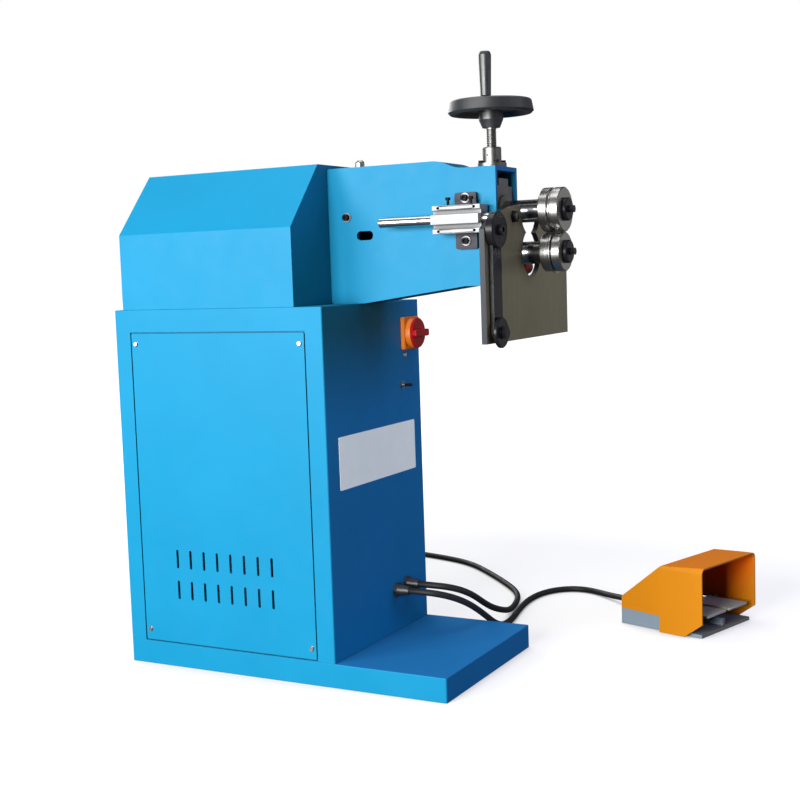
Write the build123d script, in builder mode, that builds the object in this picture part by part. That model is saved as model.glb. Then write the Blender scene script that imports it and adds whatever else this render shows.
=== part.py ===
from build123d import *
import os
from math import cos, pi, radians, sin, sqrt, tan

os.makedirs("parts", exist_ok=True)

# Driving dimensions, in millimetres and degrees.
# X runs from the rear of the cabinet to the rolls, Y across, Z up from the floor.

# Floor platform and cabinet
base_length = 700.0
base_width = 376.0
base_height = 45.0
base_sheet = 4.0
base_rib = 8.0
sheet_bend = 3.0
top_bend = 1.5
cabinet_length = 473.0
cabinet_height = 700.0
cabinet_sheet = 3.0

# Access door in the left face, measured from the cabinet's rear and from the floor, and like panel screws
door_rear = 39.0
door_bottom = 49.0
door_length = 395.0
door_height = 605.0
door_gap = 2.8
door_lip = 22.0
lip_weld = 1.2
door_screw_inset_x = 10.0
door_screw_inset_z = 20.0
panel_screw_radius = 3.0
panel_screw_head = 5.5
panel_screw_tip = 3.85
panel_screw_dome = 2.6
vent_columns = 8
vent_pitch = 31.3
vent_first = 124.0
vent_rows_z = (154.0, 215.0)
vent_length = 37.0
vent_width = 5.5

# Rear cover over the drive
cover_setback = 18.0
cover_length = 394.0
cover_width = 367.0
cover_side = 144.5
cover_height = 261.0
cover_top_width = 163.0
cover_sheet = 3.0
cover_arm_gap = 1.0

# Arm, a box of steel plates standing on the cabinet
arm_width = 96.0
arm_plate = 8.0
arm_tail = 343.0
arm_overhang = 284.0
arm_height = 253.0
arm_step = 15.0
arm_step_length = 63.0
arm_nose = 62.0
arm_knee = 9.0
arm_rise = 27.5
arm_under_nose = 65.0
arm_corner = 4.0
side_slot_forward = 16.0
side_slot_up = 126.0
side_slot_length = 35.0
side_slot_height = 17.0
side_bolt_forward = 40.0
side_bolt_up = 161.0
oil_cup_forward = -17.0
oil_cup_radius = 9.0
oil_cup_height = 17.0
oil_cup_dome = 7.0
oil_stem_radius = 4.0

# Shafts, gears and bearings
running = 0.05
socket_depth_share = 0.55
socket_width_share = 0.55
shaft_radius = 20.0
lower_axis_up = 83.0
shaft_nose = 73.0
shaft_tail = 22.0
upper_tail = 10.0
roll_gap = 0.4
upper_roll_radius = 39.2
lower_roll_radius = 34.4
roll_width = 17.0
roll_groove = 4.0
roll_groove_depth = 7.0
roll_bead = 3.0
roll_bead_inset = 0.7
roll_edge = 1.6
roll_seat_radius = 15.0
roll_washer_radius = 20.5
roll_washer_height = 8.0
roll_bolt_radius = 5.0
roll_bolt_depth = 25.0
roll_bolt_head = 7.0
roll_bolt_head_height = 9.0
gear_teeth = 37
gear_width = 25.0
gear_forward = 72.0
gear_addendum = 1.7
gear_dedendum = 2.6
gear_tooth_half = 1.2
tooth_sink = 1.0
pressure_angle = 20.0
bearing_length = 46.0
bearing_setback = 6.0
bearing_above = 31.0
rear_bearing_length = 32.0
rear_bearing_forward = 20.0

# Upper bearing carrier, tilting on trunnions at its rear
carrier_side_gap = 0.5
carrier_front_length = 61.0
carrier_below = 36.0
carrier_above = 47.0
carrier_rear_length = 28.0
carrier_rear_forward = 16.0
carrier_beam_width = 40.0
carrier_beam_height = 16.0
carrier_gear_gap = 2.2
trunnion_radius = 8.0
trunnion_end_gap = 1.0
bush_wall = 6.0
bush_flange_radius = 31.0
bush_flange_height = 5.0

# Screw, nut and handwheel that press the upper roll down
spindle_setback = 27.0
screw_radius = 9.0
screw_pitch = 4.0
thread_depth = 1.0
thread_flank = 0.3
thread_root = 0.2
thread_hidden = 12.0
pad_radius = 11.0
pad_height = 4.0
contact_gap = 0.4
collar_radius = 14.0
collar_height = 4.0
keeper_size = 42.0
keeper_roof = 4.0
keeper_gap = 0.6
keeper_play = 2.2
nut_radius = 17.0
nut_height = 36.0
nut_flange_radius = 26.0
nut_flange_height = 7.5
nut_spigot_radius = 12.5
nut_oil_hole = 2.2
nut_screw_circle = 21.6
nut_screw_count = 4
cap_screw_radius = 2.5
cap_screw_head = 4.5
cap_screw_head_height = 5.0
wheel_radius = 77.0
wheel_top_radius = 73.5
wheel_height = 24.0
wheel_lift = 94.5
wheel_rim = 12.0
wheel_web = 7.0
wheel_edge = 4.0
wheel_dish = 9.0
wheel_dish_radius = 48.0
hub_radius = 16.0
hub_flare_radius = 22.0
hub_flare = 14.0
hub_drop = 24.0
hub_bore = 8.0
handle_x = 17.0
handle_y = -58.0
handle_length = 77.0
handle_top_radius = 11.2
handle_foot_radius = 9.3
handle_bolt_radius = 4.0
handle_bolt_head = 7.0
handle_bolt_head_height = 4.0
handle_seat = 4.0
handle_round = 6.0

# Sliding gauge on the left of the arm
mount_plate_width = 42.0
mount_plate_height = 100.0
mount_plate_thickness = 8.0
mount_plate_drop = 2.5
mount_bolt_spacing = 76.0
side_bolt_radius = 4.0
side_bolt_head = 6.0
side_bolt_head_height = 7.0
washer_radius = 8.8
washer_height = 2.0
block_length = 93.5
block_height = 49.5
block_depth = 42.0
block_flange_depth = 34.0
block_recess_depth = 29.0
block_flange_height = 8.5
block_band_height = 16.5
block_hole_radius = 2.4
block_hole_span_x = 70.0
block_hole_span_z = 41.0
block_setback = 59.5
mount_ahead = 3.5
gauge_axis_up = 146.0
lock_screw_stand = 9.5
lock_screw_rear = 26.0
lock_screw_front = 71.0
rod_radius = 9.0
rod_length = 255.0
rod_stud_radius = 6.0
rod_nut_radius = 11.0
rod_nut_height = 6.0
gauge_gap = 35.5
gauge_thickness = 9.5
gauge_left = 201.5
gauge_right = 172.0
gauge_bottom = 632.0
gauge_top = 866.0
gauge_shoulder_radius = 290.0
gauge_shoulder_start = 50.0
gauge_roll_clearance = 4.6

# Swing link with its guide roller on the gauge plate
link_inset = 33.5
link_pivot_up = 121.5
link_length = 171.5
link_width = 35.0
link_thickness = 6.5
link_stand_off = 1.0
link_hub_radius = 31.0
link_hub_thickness = 13.0
link_boss_radius = 14.0
link_pivot_radius = 6.0
link_pivot_head = 9.0
link_pivot_head_height = 6.0
roller_radius = 26.0
roller_width = 7.0
roller_hub_radius = 12.0
roller_hub_width = 8.0
roller_bolt_radius = 5.0
roller_nut_radius = 11.0
roller_nut_height = 7.0

# Red knob on a stud in the right arm plate
cap_setback = 15.0
cap_up = 58.0
cap_radius = 14.0
cap_height = 36.0
cap_round = 5.0
cap_stand = 38.0
cap_stem_radius = 5.0

# Switches, blank plate and cable glands on the cabinet front
switch_inset = 44.5
switch_z = 634.0
switch_size = 65.0
switch_thickness = 8.0
switch_corner = 4.0
knob_radius = 30.0
knob_thickness = 4.5
switch_ring_height = 10.5
knob_spindle_radius = 5.0
grip_width = 14.0
grip_height = 9.0
grip_length = 58.0
grip_corner = 4.2
toggle_inset = 79.0
toggle_z = 532.5
toggle_nut_radius = 8.0
toggle_nut_height = 3.0
toggle_bush_radius = 5.0
toggle_bush_length = 8.0
toggle_ball_radius = 3.6
toggle_ball_sweep = 138.0
toggle_ball_rings = 7
toggle_lever_radius = 2.4
toggle_lever_tip = 3.4
toggle_tip_round = 2.0
toggle_lever_length = 17.0
toggle_body_width = 14.0
toggle_body_depth = 20.0
panel_screw_inset = 64.0
panel_screw_z = 591.5
plate_y = 5.0
plate_z = 408.8
plate_width = 300.0
plate_height = 99.0
plate_thickness = 0.5
pedal_gland_y = 56.0
pedal_gland_z = 128.0
mains_gland_y = 98.0
mains_gland_z = 132.0
gland_thread_radius = 8.0
gland_nut_radius = 15.0
gland_nut_height = 7.0
gland_dome_radius = 12.5
gland_dome_height = 23.0
gland_tip_radius = 8.5
gland_tail = 10.0

# Drive inside the cabinet
sprocket_teeth = 20
sprocket_radius = 44.0
sprocket_tooth = 4.0
sprocket_width = 9.0
chain_width = 8.0
chain_height = 9.0
drive_slot_length = 40.0
drive_slot_width = 130.0
motor_axis_up = 92.0
motor_radius = 72.0
motor_length = 165.0
gearbox_forward = 24.0
gearbox_length = 130.0
gearbox_width = 150.0
gearbox_height = 160.0
gearbox_shaft_radius = 14.0
terminal_box_length = 80.0
terminal_box_width = 90.0
terminal_box_height = 35.0

# Hooded twin foot pedal, in its own turned frame on the floor
pedal_forward = 114.0
pedal_aside = 424.0
pedal_turn = -17.0
pedal_base_length = 196.0
pedal_base_width = 182.0
pedal_plate = 7.0
pedal_box_length = 98.0
pedal_box_height = 33.5
hood_flare = 12.0
hood_sheet = 3.0
hood_rear_height = 58.0
hood_fold = 106.0
hood_fold_height = 139.0
hood_length = 204.0
hood_height = 145.0
hood_foot_rear = 102.0
hood_foot_front = 161.0
hood_lip_height = 31.0
hood_round = 12.0
divider_width = 8.0
divider_height = 22.0
divider_end = 6.0
treadle_thickness = 5.0
treadle_gap = 2.0
treadle_top = 43.0
treadle_end = 200.0
treadle_pivot = 112.0
treadle_ear = 14.0
treadle_pin_radius = 4.0
treadle_pin_drop = 2.0
treadle_boss = 8.0
pedal_gland_up = 18.0
pedal_gland_aside = 113.0

# Cables: the routes are points in the machine's frame, from the cabinet's rear and the floor
cable_radius = 6.5
floor_gap = 0.2
bend_share = 0.45
exit_run = 28.0
coil_lead_in = 38.0
coil_along = 20.0
coil_aside = 782.5
coil_turns = 1.5
climb_turns = 0.5
coil_inner_radius = 58.0
coil_pitch = 16.0
coil_layer = 13.8
coil_samples = 420
plug_length = 58.0
plug_radius = 20.0
plug_shoulder = 8.0
plug_neck_length = 34.0
plug_neck_radius = 11.0
plug_boot_wall = 1.0
pin_radius = 2.4
pin_length = 19.0
pin_circle = 9.5

# Places worked out from the sizes above
rear_x = -base_length / 2
front_x = rear_x + cabinet_length
left_y = -base_width / 2
switch_y = base_width / 2 - switch_inset
toggle_y = base_width / 2 - toggle_inset
panel_screw_y = base_width / 2 - panel_screw_inset
top_z = cabinet_height
arm_rear = front_x - arm_tail
arm_front = front_x + arm_overhang
arm_half = arm_width / 2
arm_inner = arm_half - arm_plate
arm_top = top_z + arm_height
nose_top = arm_top - arm_step
lower_z = top_z + lower_axis_up
shaft_distance = upper_roll_radius + lower_roll_radius + roll_gap
upper_z = lower_z + shaft_distance
roll_back = arm_front + shaft_nose
roll_front = roll_back + 2 * roll_width + roll_groove
spindle_x = arm_front - spindle_setback
pivot_x = arm_rear + carrier_rear_forward + carrier_rear_length / 2
gear_x = arm_rear + gear_forward - gear_width / 2
gear_pitch_radius = shaft_distance / 2
STANDING = (Align.CENTER, Align.CENTER, Align.MIN)


def across(x, y=0.0, z=0.0):
    """Plane square to X: its own x runs along Y and its own y along Z."""
    return Plane(origin=(x, y, z), x_dir=(0, 1, 0), z_dir=(1, 0, 0))


def lengthwise(y, x=0.0, z=0.0):
    """Plane square to Y, facing -Y: its own x runs along X and its own y along Z."""
    return Plane(origin=(x, y, z), x_dir=(1, 0, 0), z_dir=(0, -1, 0))


def disc(plane, radius, height, mode=Mode.ADD):
    """Round boss, pin or hole of the part being built, standing on a plane."""
    with Locations(plane):
        Cylinder(radius, height, align=STANDING, mode=mode)


def brick(plane, size_x, size_y, height, mode=Mode.ADD):
    """Block or square hole of the part being built, standing on a plane."""
    with Locations(plane):
        Box(size_x, size_y, height, align=STANDING, mode=mode)


def hexagon(plane, radius, height, mode=Mode.ADD):
    """Six-sided head of the part being built, standing on a plane."""
    with BuildSketch(plane) as outline:
        RegularPolygon(radius, 6)
    extrude(outline.sketch, amount=height, mode=mode)


def socket_head(plane, radius, height):
    """Screw head with its hexagon socket, standing on a plane."""
    disc(plane, radius, height)
    floor_height = height * (1 - socket_depth_share)
    hexagon(plane.offset(floor_height), radius * socket_width_share, height, mode=Mode.SUBTRACT)


# Floor platform: a folded tray with a stiffening rib across its middle, which the cabinet stands on
with BuildPart() as base_platform:
    Box(base_length, base_width, base_height, align=STANDING)
    fillet(base_platform.edges().filter_by(Axis.Z), sheet_bend)
    fillet(base_platform.faces().sort_by(Axis.Z)[-1].edges(), top_bend)
    brick(Plane.XY, base_length - 2 * base_sheet, base_width - 2 * base_sheet, base_height - base_sheet,
          mode=Mode.SUBTRACT)
    brick(Plane.XY, base_rib, base_width - 2 * base_sheet, base_height - base_sheet)
base_platform.part.label = "base_platform"
export_step(base_platform.part, "parts/base_platform.step")

# Cabinet shell, open below, with the door opening and its welded lip
cabinet_x = rear_x + cabinet_length / 2
door_x = rear_x + door_rear + door_length / 2
door_z = door_bottom + door_height / 2
opening_length = door_length + 2 * door_gap
opening_height = door_height + 2 * door_gap
wall_inside = left_y + cabinet_sheet
sprocket_x = arm_rear - shaft_tail
with BuildPart() as cabinet_shell:
    brick(Plane((cabinet_x, 0, base_height)), cabinet_length, base_width, cabinet_height - base_height)
    fillet(cabinet_shell.edges().filter_by(Axis.Z), sheet_bend)
    fillet(cabinet_shell.faces().sort_by(Axis.Z)[-1].edges(), top_bend)
    brick(Plane((cabinet_x, 0, base_height)), cabinet_length - 2 * cabinet_sheet,
          base_width - 2 * cabinet_sheet, cabinet_height - base_height - cabinet_sheet, mode=Mode.SUBTRACT)
    with BuildSketch(lengthwise(wall_inside + cabinet_sheet, door_x, door_z)):
        Rectangle(opening_length + 2 * lip_weld, opening_height + 2 * lip_weld)
        Rectangle(opening_length - 2 * door_lip, opening_height - 2 * door_lip, mode=Mode.SUBTRACT)
    extrude(amount=cabinet_sheet)
    brick(lengthwise(wall_inside, door_x, door_z), opening_length, opening_height, cabinet_sheet,
          mode=Mode.SUBTRACT)
    with Locations(lengthwise(wall_inside + cabinet_sheet, door_x, door_z)):
        with GridLocations(door_length - 2 * door_screw_inset_x, door_height - 2 * door_screw_inset_z, 2, 2):
            Cylinder(panel_screw_radius + running, cabinet_sheet, align=STANDING, mode=Mode.SUBTRACT)
    brick(Plane((sprocket_x, 0, top_z - cabinet_sheet)), drive_slot_length, drive_slot_width,
          cabinet_sheet, mode=Mode.SUBTRACT)
    for hole_y, hole_z, hole_radius in ((pedal_gland_y, pedal_gland_z, gland_thread_radius),
                                        (mains_gland_y, mains_gland_z, gland_thread_radius),
                                        (toggle_y, toggle_z, toggle_bush_radius),
                                        (panel_screw_y, panel_screw_z, panel_screw_radius)):
        disc(across(front_x - cabinet_sheet, hole_y, hole_z), hole_radius + running, cabinet_sheet,
             mode=Mode.SUBTRACT)
cabinet_shell.part.label = "cabinet_shell"
export_step(cabinet_shell.part, "parts/cabinet_shell.step")

# Access door with two rows of vent slots
vent_x = rear_x + vent_first + vent_pitch * (vent_columns - 1) / 2
with BuildPart() as access_door:
    with BuildSketch(lengthwise(wall_inside, door_x, door_z)):
        RectangleRounded(door_length, door_height, sheet_bend)
        with Locations((vent_x - door_x, sum(vent_rows_z) / 2 - door_z)):
            with GridLocations(vent_pitch, vent_rows_z[1] - vent_rows_z[0], vent_columns, 2):
                SlotOverall(vent_length, vent_width, rotation=90, mode=Mode.SUBTRACT)
        with GridLocations(door_length - 2 * door_screw_inset_x, door_height - 2 * door_screw_inset_z, 2, 2):
            Circle(panel_screw_radius + running, mode=Mode.SUBTRACT)
    extrude(amount=cabinet_sheet)
access_door.part.label = "access_door"
export_step(access_door.part, "parts/access_door.step")

# Like screws with tapered heads: four in the door and one in the cabinet front
door_screw_spread_x = door_length / 2 - door_screw_inset_x
door_screw_spread_z = door_height / 2 - door_screw_inset_z
panel_screw_places = [across(front_x, panel_screw_y, panel_screw_z)]
for side_x in (-1, 1):
    for side_z in (-1, 1):
        panel_screw_places.append(lengthwise(left_y, door_x + side_x * door_screw_spread_x,
                                             door_z + side_z * door_screw_spread_z))
with BuildPart() as panel_screws:
    for place in panel_screw_places:
        disc(place.offset(-2 * cabinet_sheet), panel_screw_radius, 2 * cabinet_sheet)
        with Locations(place):
            Cone(panel_screw_head, panel_screw_tip, panel_screw_dome, align=STANDING)
panel_screws.part.label = "panel_screws"
export_step(panel_screws.part, "parts/panel_screws.step")

# Rear cover: folded sheet with sloped shoulders, open below and slotted for the arm
cover_rear = rear_x + cover_setback
cover_front = cover_rear + cover_length
cover_lean = (cover_width - cover_top_width) / 2 / (cover_height - cover_side)
lean_inset = cover_sheet * (sqrt(1 + cover_lean**2) - cover_lean)


def cover_outline(inset, corner_inset):
    """Half-hexagon section of the cover, drawn in by a sheet's thickness."""
    half = cover_width / 2 - inset
    half_top = cover_top_width / 2 - corner_inset
    return [(-half, 0), (half, 0), (half, cover_side - corner_inset), (half_top, cover_height - inset),
            (-half_top, cover_height - inset), (-half, cover_side - corner_inset)]


with BuildPart() as rear_cover:
    with BuildSketch(across(cover_rear, 0, top_z)):
        Polygon(*cover_outline(0, 0), align=None)
    extrude(amount=cover_length)
    fillet(rear_cover.edges().filter_by(Axis.X).sort_by(Axis.Z)[2:], sheet_bend)
    with BuildSketch(across(cover_rear + cover_sheet, 0, top_z)):
        Polygon(*cover_outline(cover_sheet, lean_inset), align=None)
    extrude(amount=cover_length - 2 * cover_sheet, mode=Mode.SUBTRACT)
    brick(Plane((cover_front - cover_sheet / 2, 0, top_z)), cover_sheet, arm_width + 2 * cover_arm_gap,
          arm_height + cover_arm_gap, mode=Mode.SUBTRACT)
rear_cover.part.label = "rear_cover"
export_step(rear_cover.part, "parts/rear_cover.step")

# Side outline of the arm, shared by its four plates
step_front = arm_front - arm_nose
step_rear = step_front - arm_step_length
step_middle = ((step_front + step_rear) / 2, (nose_top + arm_top) / 2)
knee_x = front_x + arm_knee
under_front = arm_front - arm_under_nose
nose_bottom = top_z + arm_rise


def arm_profile(drop=0.0):
    """Top line of the arm from nose to tail, lowered by a drop."""
    nose = Line((arm_front, nose_top - drop), (step_front, nose_top - drop))
    middle = (step_middle[0], step_middle[1] - drop)
    lower_bend = TangentArc(nose @ 1, middle, tangent=nose % 1)
    upper_bend = TangentArc(lower_bend @ 1, (step_rear, arm_top - drop), tangent=lower_bend % 1)
    Line(upper_bend @ 1, (arm_rear, arm_top - drop))


def side_plate_outline():
    """Closed outline of one arm side plate."""
    arm_profile()
    Polyline((arm_rear, arm_top), (arm_rear, top_z), (knee_x, top_z), (under_front, nose_bottom),
             (arm_front, nose_bottom), (arm_front, nose_top))


side_bolt_x = cover_front + side_bolt_forward
side_bolt_z = top_z + side_bolt_up
gauge_z = top_z + gauge_axis_up
block_x = arm_front - block_setback
mount_x = block_x + mount_ahead
with BuildPart() as arm_left_plate:
    with BuildSketch(lengthwise(-arm_inner)):
        with BuildLine() as left_outline:
            side_plate_outline()
        make_face()
        with Locations((front_x + side_slot_forward, top_z + side_slot_up)):
            SlotOverall(side_slot_length, side_slot_height, mode=Mode.SUBTRACT)
        with Locations((pivot_x, upper_z)):
            Circle(trunnion_radius + running, mode=Mode.SUBTRACT)
        with Locations((side_bolt_x, side_bolt_z)):
            Circle(side_bolt_radius + running, mode=Mode.SUBTRACT)
        with Locations((mount_x, gauge_z)):
            with GridLocations(0, mount_bolt_spacing, 1, 2):
                Circle(side_bolt_radius + running, mode=Mode.SUBTRACT)
    extrude(amount=arm_plate)
arm_left_plate.part.label = "arm_left_plate"
export_step(arm_left_plate.part, "parts/arm_left_plate.step")

cap_x = arm_front - cap_setback
cap_z = top_z + cap_up
with BuildPart() as arm_right_plate:
    with BuildSketch(lengthwise(arm_half)):
        with BuildLine() as right_outline:
            side_plate_outline()
        make_face()
        with Locations((pivot_x, upper_z)):
            Circle(trunnion_radius + running, mode=Mode.SUBTRACT)
        with Locations((cap_x, cap_z)):
            Circle(cap_stem_radius + running, mode=Mode.SUBTRACT)
    extrude(amount=arm_plate)
arm_right_plate.part.label = "arm_right_plate"
export_step(arm_right_plate.part, "parts/arm_right_plate.step")

oil_cup_x = front_x + oil_cup_forward
with BuildPart() as arm_top_plate:
    with BuildSketch(lengthwise(arm_inner)):
        with BuildLine() as top_outline:
            arm_profile()
            arm_profile(arm_plate)
            Line((arm_front, nose_top), (arm_front, nose_top - arm_plate))
            Line((arm_rear, arm_top), (arm_rear, arm_top - arm_plate))
        make_face()
    extrude(amount=2 * arm_inner)
    disc(Plane((spindle_x, 0, nose_top - arm_plate)), nut_spigot_radius, arm_plate, mode=Mode.SUBTRACT)
    with Locations(Plane((spindle_x, 0, nose_top - arm_plate))):
        with PolarLocations(nut_screw_circle, nut_screw_count, start_angle=180 / nut_screw_count):
            Cylinder(cap_screw_radius + running, arm_plate, align=STANDING, mode=Mode.SUBTRACT)
    disc(Plane((oil_cup_x, 0, arm_top - arm_plate)), oil_stem_radius + running, arm_plate,
         mode=Mode.SUBTRACT)
arm_top_plate.part.label = "arm_top_plate"
export_step(arm_top_plate.part, "parts/arm_top_plate.step")

under_points = [(arm_rear, top_z), (knee_x, top_z), (under_front, nose_bottom), (arm_front, nose_bottom)]
with BuildPart() as arm_bottom_plate:
    with BuildSketch(lengthwise(arm_inner)):
        with BuildLine():
            upper_points = [(x, z + arm_plate) for x, z in reversed(under_points)]
            Polyline(*under_points, *upper_points, under_points[0])
        make_face()
    extrude(amount=2 * arm_inner)
arm_bottom_plate.part.label = "arm_bottom_plate"
export_step(arm_bottom_plate.part, "parts/arm_bottom_plate.step")

# Domed oil cup on top of the arm
with BuildPart() as oil_cup:
    disc(Plane((oil_cup_x, 0, arm_top)), oil_cup_radius, oil_cup_height)
    fillet(oil_cup.faces().sort_by(Axis.Z)[-1].edges(), oil_cup_dome)
    disc(Plane((oil_cup_x, 0, arm_top - arm_plate)), oil_stem_radius, arm_plate)
oil_cup.part.label = "oil_cup"
export_step(oil_cup.part, "parts/oil_cup.step")

# Red knob on its stud, outside the right arm plate
right_face = Plane(origin=(cap_x, arm_half, cap_z), x_dir=(1, 0, 0), z_dir=(0, 1, 0))
with BuildPart() as red_cap:
    disc(right_face.offset(cap_stand), cap_radius, cap_height)
    fillet(red_cap.faces().sort_by(Axis.Y)[-1].edges(), cap_round)
    disc(right_face.offset(-arm_plate), cap_stem_radius, arm_plate + cap_stand)
red_cap.part.label = "red_cap"
export_step(red_cap.part, "parts/red_cap.step")

# Lower shaft bearings: two blocks between the arm plates
under_plate_front = nose_bottom + arm_plate
front_bearing_x = arm_front - bearing_setback - bearing_length
rear_bearing_x = arm_rear + rear_bearing_forward
bearing_top = lower_z + bearing_above
with BuildPart() as lower_bearings:
    for block_start, length, bottom in ((front_bearing_x, bearing_length, under_plate_front),
                                        (rear_bearing_x, rear_bearing_length, top_z + arm_plate)):
        brick(Plane((block_start + length / 2, 0, bottom)), length, 2 * arm_inner, bearing_top - bottom)
    disc(across(rear_bearing_x, 0, lower_z), shaft_radius + running, arm_front - rear_bearing_x,
         mode=Mode.SUBTRACT)
lower_bearings.part.label = "lower_bearings"
export_step(lower_bearings.part, "parts/lower_bearings.step")


def roll_shaft(axis_z, tail):
    """Shaft of the part being built, with the reduced seat for its rolls and the tapped end."""
    disc(across(tail, 0, axis_z), shaft_radius, roll_back - tail)
    disc(across(roll_back, 0, axis_z), roll_seat_radius, roll_front - roll_back)
    disc(across(roll_front - roll_bolt_depth, 0, axis_z), roll_bolt_radius, roll_bolt_depth,
         mode=Mode.SUBTRACT)


def turned_on_x(points, y, z, mode=Mode.ADD):
    """Shape of the part being built, turned about a line along X: points are (x, radius)."""
    with BuildSketch(lengthwise(y, 0, z)) as outline:
        Polygon(*points, align=None)
    revolve(outline.sketch, axis=Axis((0, y, z), (1, 0, 0)), mode=mode)


def turned_on_z(points, x, y, mode=Mode.ADD):
    """Shape of the part being built, turned about an upright line: points are (radius, z)."""
    with BuildSketch(lengthwise(y, x)) as outline:
        Polygon(*points, align=None)
    revolve(outline.sketch, axis=Axis((x, y, 0), (0, 0, 1)), mode=mode)


def roll_discs(axis_z, radius, ring, ring_inset):
    """Inner and outer disc of one roll, two solids with a narrow ring between them."""
    bore = roll_seat_radius + running
    inner_end = roll_back + roll_width
    outer_start = inner_end + roll_groove
    boss = radius - roll_groove_depth
    turned_on_x([(roll_back, bore), (roll_back, radius - roll_edge), (roll_back + roll_edge, radius),
                 (inner_end - roll_edge, radius), (inner_end, radius - roll_edge), (inner_end, boss),
                 (inner_end + ring_inset, boss), (inner_end + ring_inset, ring),
                 (outer_start - ring_inset, ring), (outer_start - ring_inset, boss),
                 (outer_start - running, boss), (outer_start - running, bore)], 0, axis_z)
    turned_on_x([(outer_start, bore), (outer_start, radius - roll_edge), (outer_start + roll_edge, radius),
                 (roll_front - roll_edge, radius), (roll_front, radius - roll_edge), (roll_front, bore)],
                0, axis_z)


def roll_fastener(axis_z):
    """Thick washer and hexagon bolt on the end of a roll shaft."""
    washer_end = roll_front + roll_washer_height
    turned_on_x([(roll_front, roll_bolt_radius + running), (roll_front, roll_washer_radius - roll_edge),
                 (roll_front + roll_edge, roll_washer_radius), (washer_end - roll_edge, roll_washer_radius),
                 (washer_end, roll_washer_radius - roll_edge), (washer_end, roll_bolt_radius + running)],
                0, axis_z)
    shank_start = roll_front - roll_bolt_depth + roll_edge
    disc(across(shank_start, 0, axis_z), roll_bolt_radius - running, washer_end + running - shank_start)
    hexagon(across(washer_end + running, 0, axis_z), roll_bolt_head, roll_bolt_head_height)


def toothed_wheel(plane, root, tip, teeth, half_root, half_tip, bore, width, first_tooth):
    """Wheel of the part being built, with straight-sided teeth, the first at first_tooth degrees."""
    with BuildSketch(plane) as outline:
        Circle(root)
        with PolarLocations(0, teeth, start_angle=first_tooth):
            Polygon((root - tooth_sink, -half_root), (tip, -half_tip), (tip, half_tip),
                    (root - tooth_sink, half_root), align=None)
        Circle(bore, mode=Mode.SUBTRACT)
    extrude(outline.sketch, amount=width)


def spur_gear(axis_z, first_tooth):
    """One of the two meshed gears that couple the shafts."""
    slope = tan(radians(pressure_angle))
    half_root = gear_tooth_half + gear_dedendum * slope
    half_tip = gear_tooth_half - gear_addendum * slope
    toothed_wheel(across(gear_x, 0, axis_z), gear_pitch_radius - gear_dedendum,
                  gear_pitch_radius + gear_addendum, gear_teeth, half_root, half_tip,
                  shaft_radius + running, gear_width, first_tooth)


def chain_sprocket(axis_z, bore):
    """One of the two like sprockets under the drive chain."""
    toothed_wheel(across(sprocket_x - sprocket_width / 2, 0, axis_z), sprocket_radius - sprocket_tooth,
                  sprocket_radius, sprocket_teeth, sprocket_tooth, sprocket_tooth / 2, bore,
                  sprocket_width, 90)


# Lower shaft with its gear, sprocket and rolls
lower_tail = sprocket_x - sprocket_width
with BuildPart() as lower_shaft:
    roll_shaft(lower_z, lower_tail)
lower_shaft.part.label = "lower_shaft"
export_step(lower_shaft.part, "parts/lower_shaft.step")

with BuildPart() as lower_gear:
    spur_gear(lower_z, 90)
lower_gear.part.label = "lower_gear"
export_step(lower_gear.part, "parts/lower_gear.step")

with BuildPart() as shaft_sprocket:
    chain_sprocket(lower_z, shaft_radius + running)
shaft_sprocket.part.label = "shaft_sprocket"
export_step(shaft_sprocket.part, "parts/shaft_sprocket.step")

with BuildPart() as lower_rolls:
    roll_discs(lower_z, lower_roll_radius, lower_roll_radius + roll_bead, roll_bead_inset)
lower_rolls.part.label = "lower_rolls"
export_step(lower_rolls.part, "parts/lower_rolls.step")

with BuildPart() as lower_roll_bolt:
    roll_fastener(lower_z)
lower_roll_bolt.part.label = "lower_roll_bolt"
export_step(lower_roll_bolt.part, "parts/lower_roll_bolt.step")

# Upper carrier: two blocks and a beam in one casting, tilting on side trunnions
carrier_front = arm_front - bearing_setback
carrier_width = 2 * (arm_inner - carrier_side_gap)
carrier_bottom = upper_z - carrier_below
carrier_top = upper_z + carrier_above
beam_bottom = upper_z + gear_pitch_radius + gear_addendum + carrier_gear_gap
beam_top = beam_bottom + carrier_beam_height
carrier_rear = pivot_x - carrier_rear_length / 2
beam_front = spindle_x - keeper_size / 2 - keeper_gap
bush_radius = shaft_radius + bush_wall
with BuildPart() as upper_carrier:
    brick(Plane((carrier_front - carrier_front_length / 2, 0, carrier_bottom)), carrier_front_length,
          carrier_width, carrier_top - carrier_bottom)
    brick(Plane((pivot_x, 0, carrier_bottom)), carrier_rear_length, carrier_width, beam_top - carrier_bottom)
    brick(Plane(((carrier_rear + beam_front) / 2, 0, beam_bottom)), beam_front - carrier_rear,
          carrier_beam_width, carrier_beam_height)
    trunnion_end = arm_half - trunnion_end_gap
    disc(lengthwise(trunnion_end, pivot_x, upper_z), trunnion_radius, 2 * trunnion_end)
    disc(across(carrier_rear, 0, upper_z), bush_radius + running, carrier_front - carrier_rear,
         mode=Mode.SUBTRACT)
upper_carrier.part.label = "upper_carrier"
export_step(upper_carrier.part, "parts/upper_carrier.step")

with BuildPart() as upper_bushes:
    disc(across(carrier_rear, 0, upper_z), bush_radius, carrier_rear_length)
    disc(across(carrier_front - carrier_front_length, 0, upper_z), bush_radius, carrier_front_length)
    disc(across(carrier_front, 0, upper_z), bush_flange_radius, bush_flange_height)
    disc(across(carrier_rear, 0, upper_z), shaft_radius + running, arm_front - carrier_rear,
         mode=Mode.SUBTRACT)
upper_bushes.part.label = "upper_bushes"
export_step(upper_bushes.part, "parts/upper_bushes.step")

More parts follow.
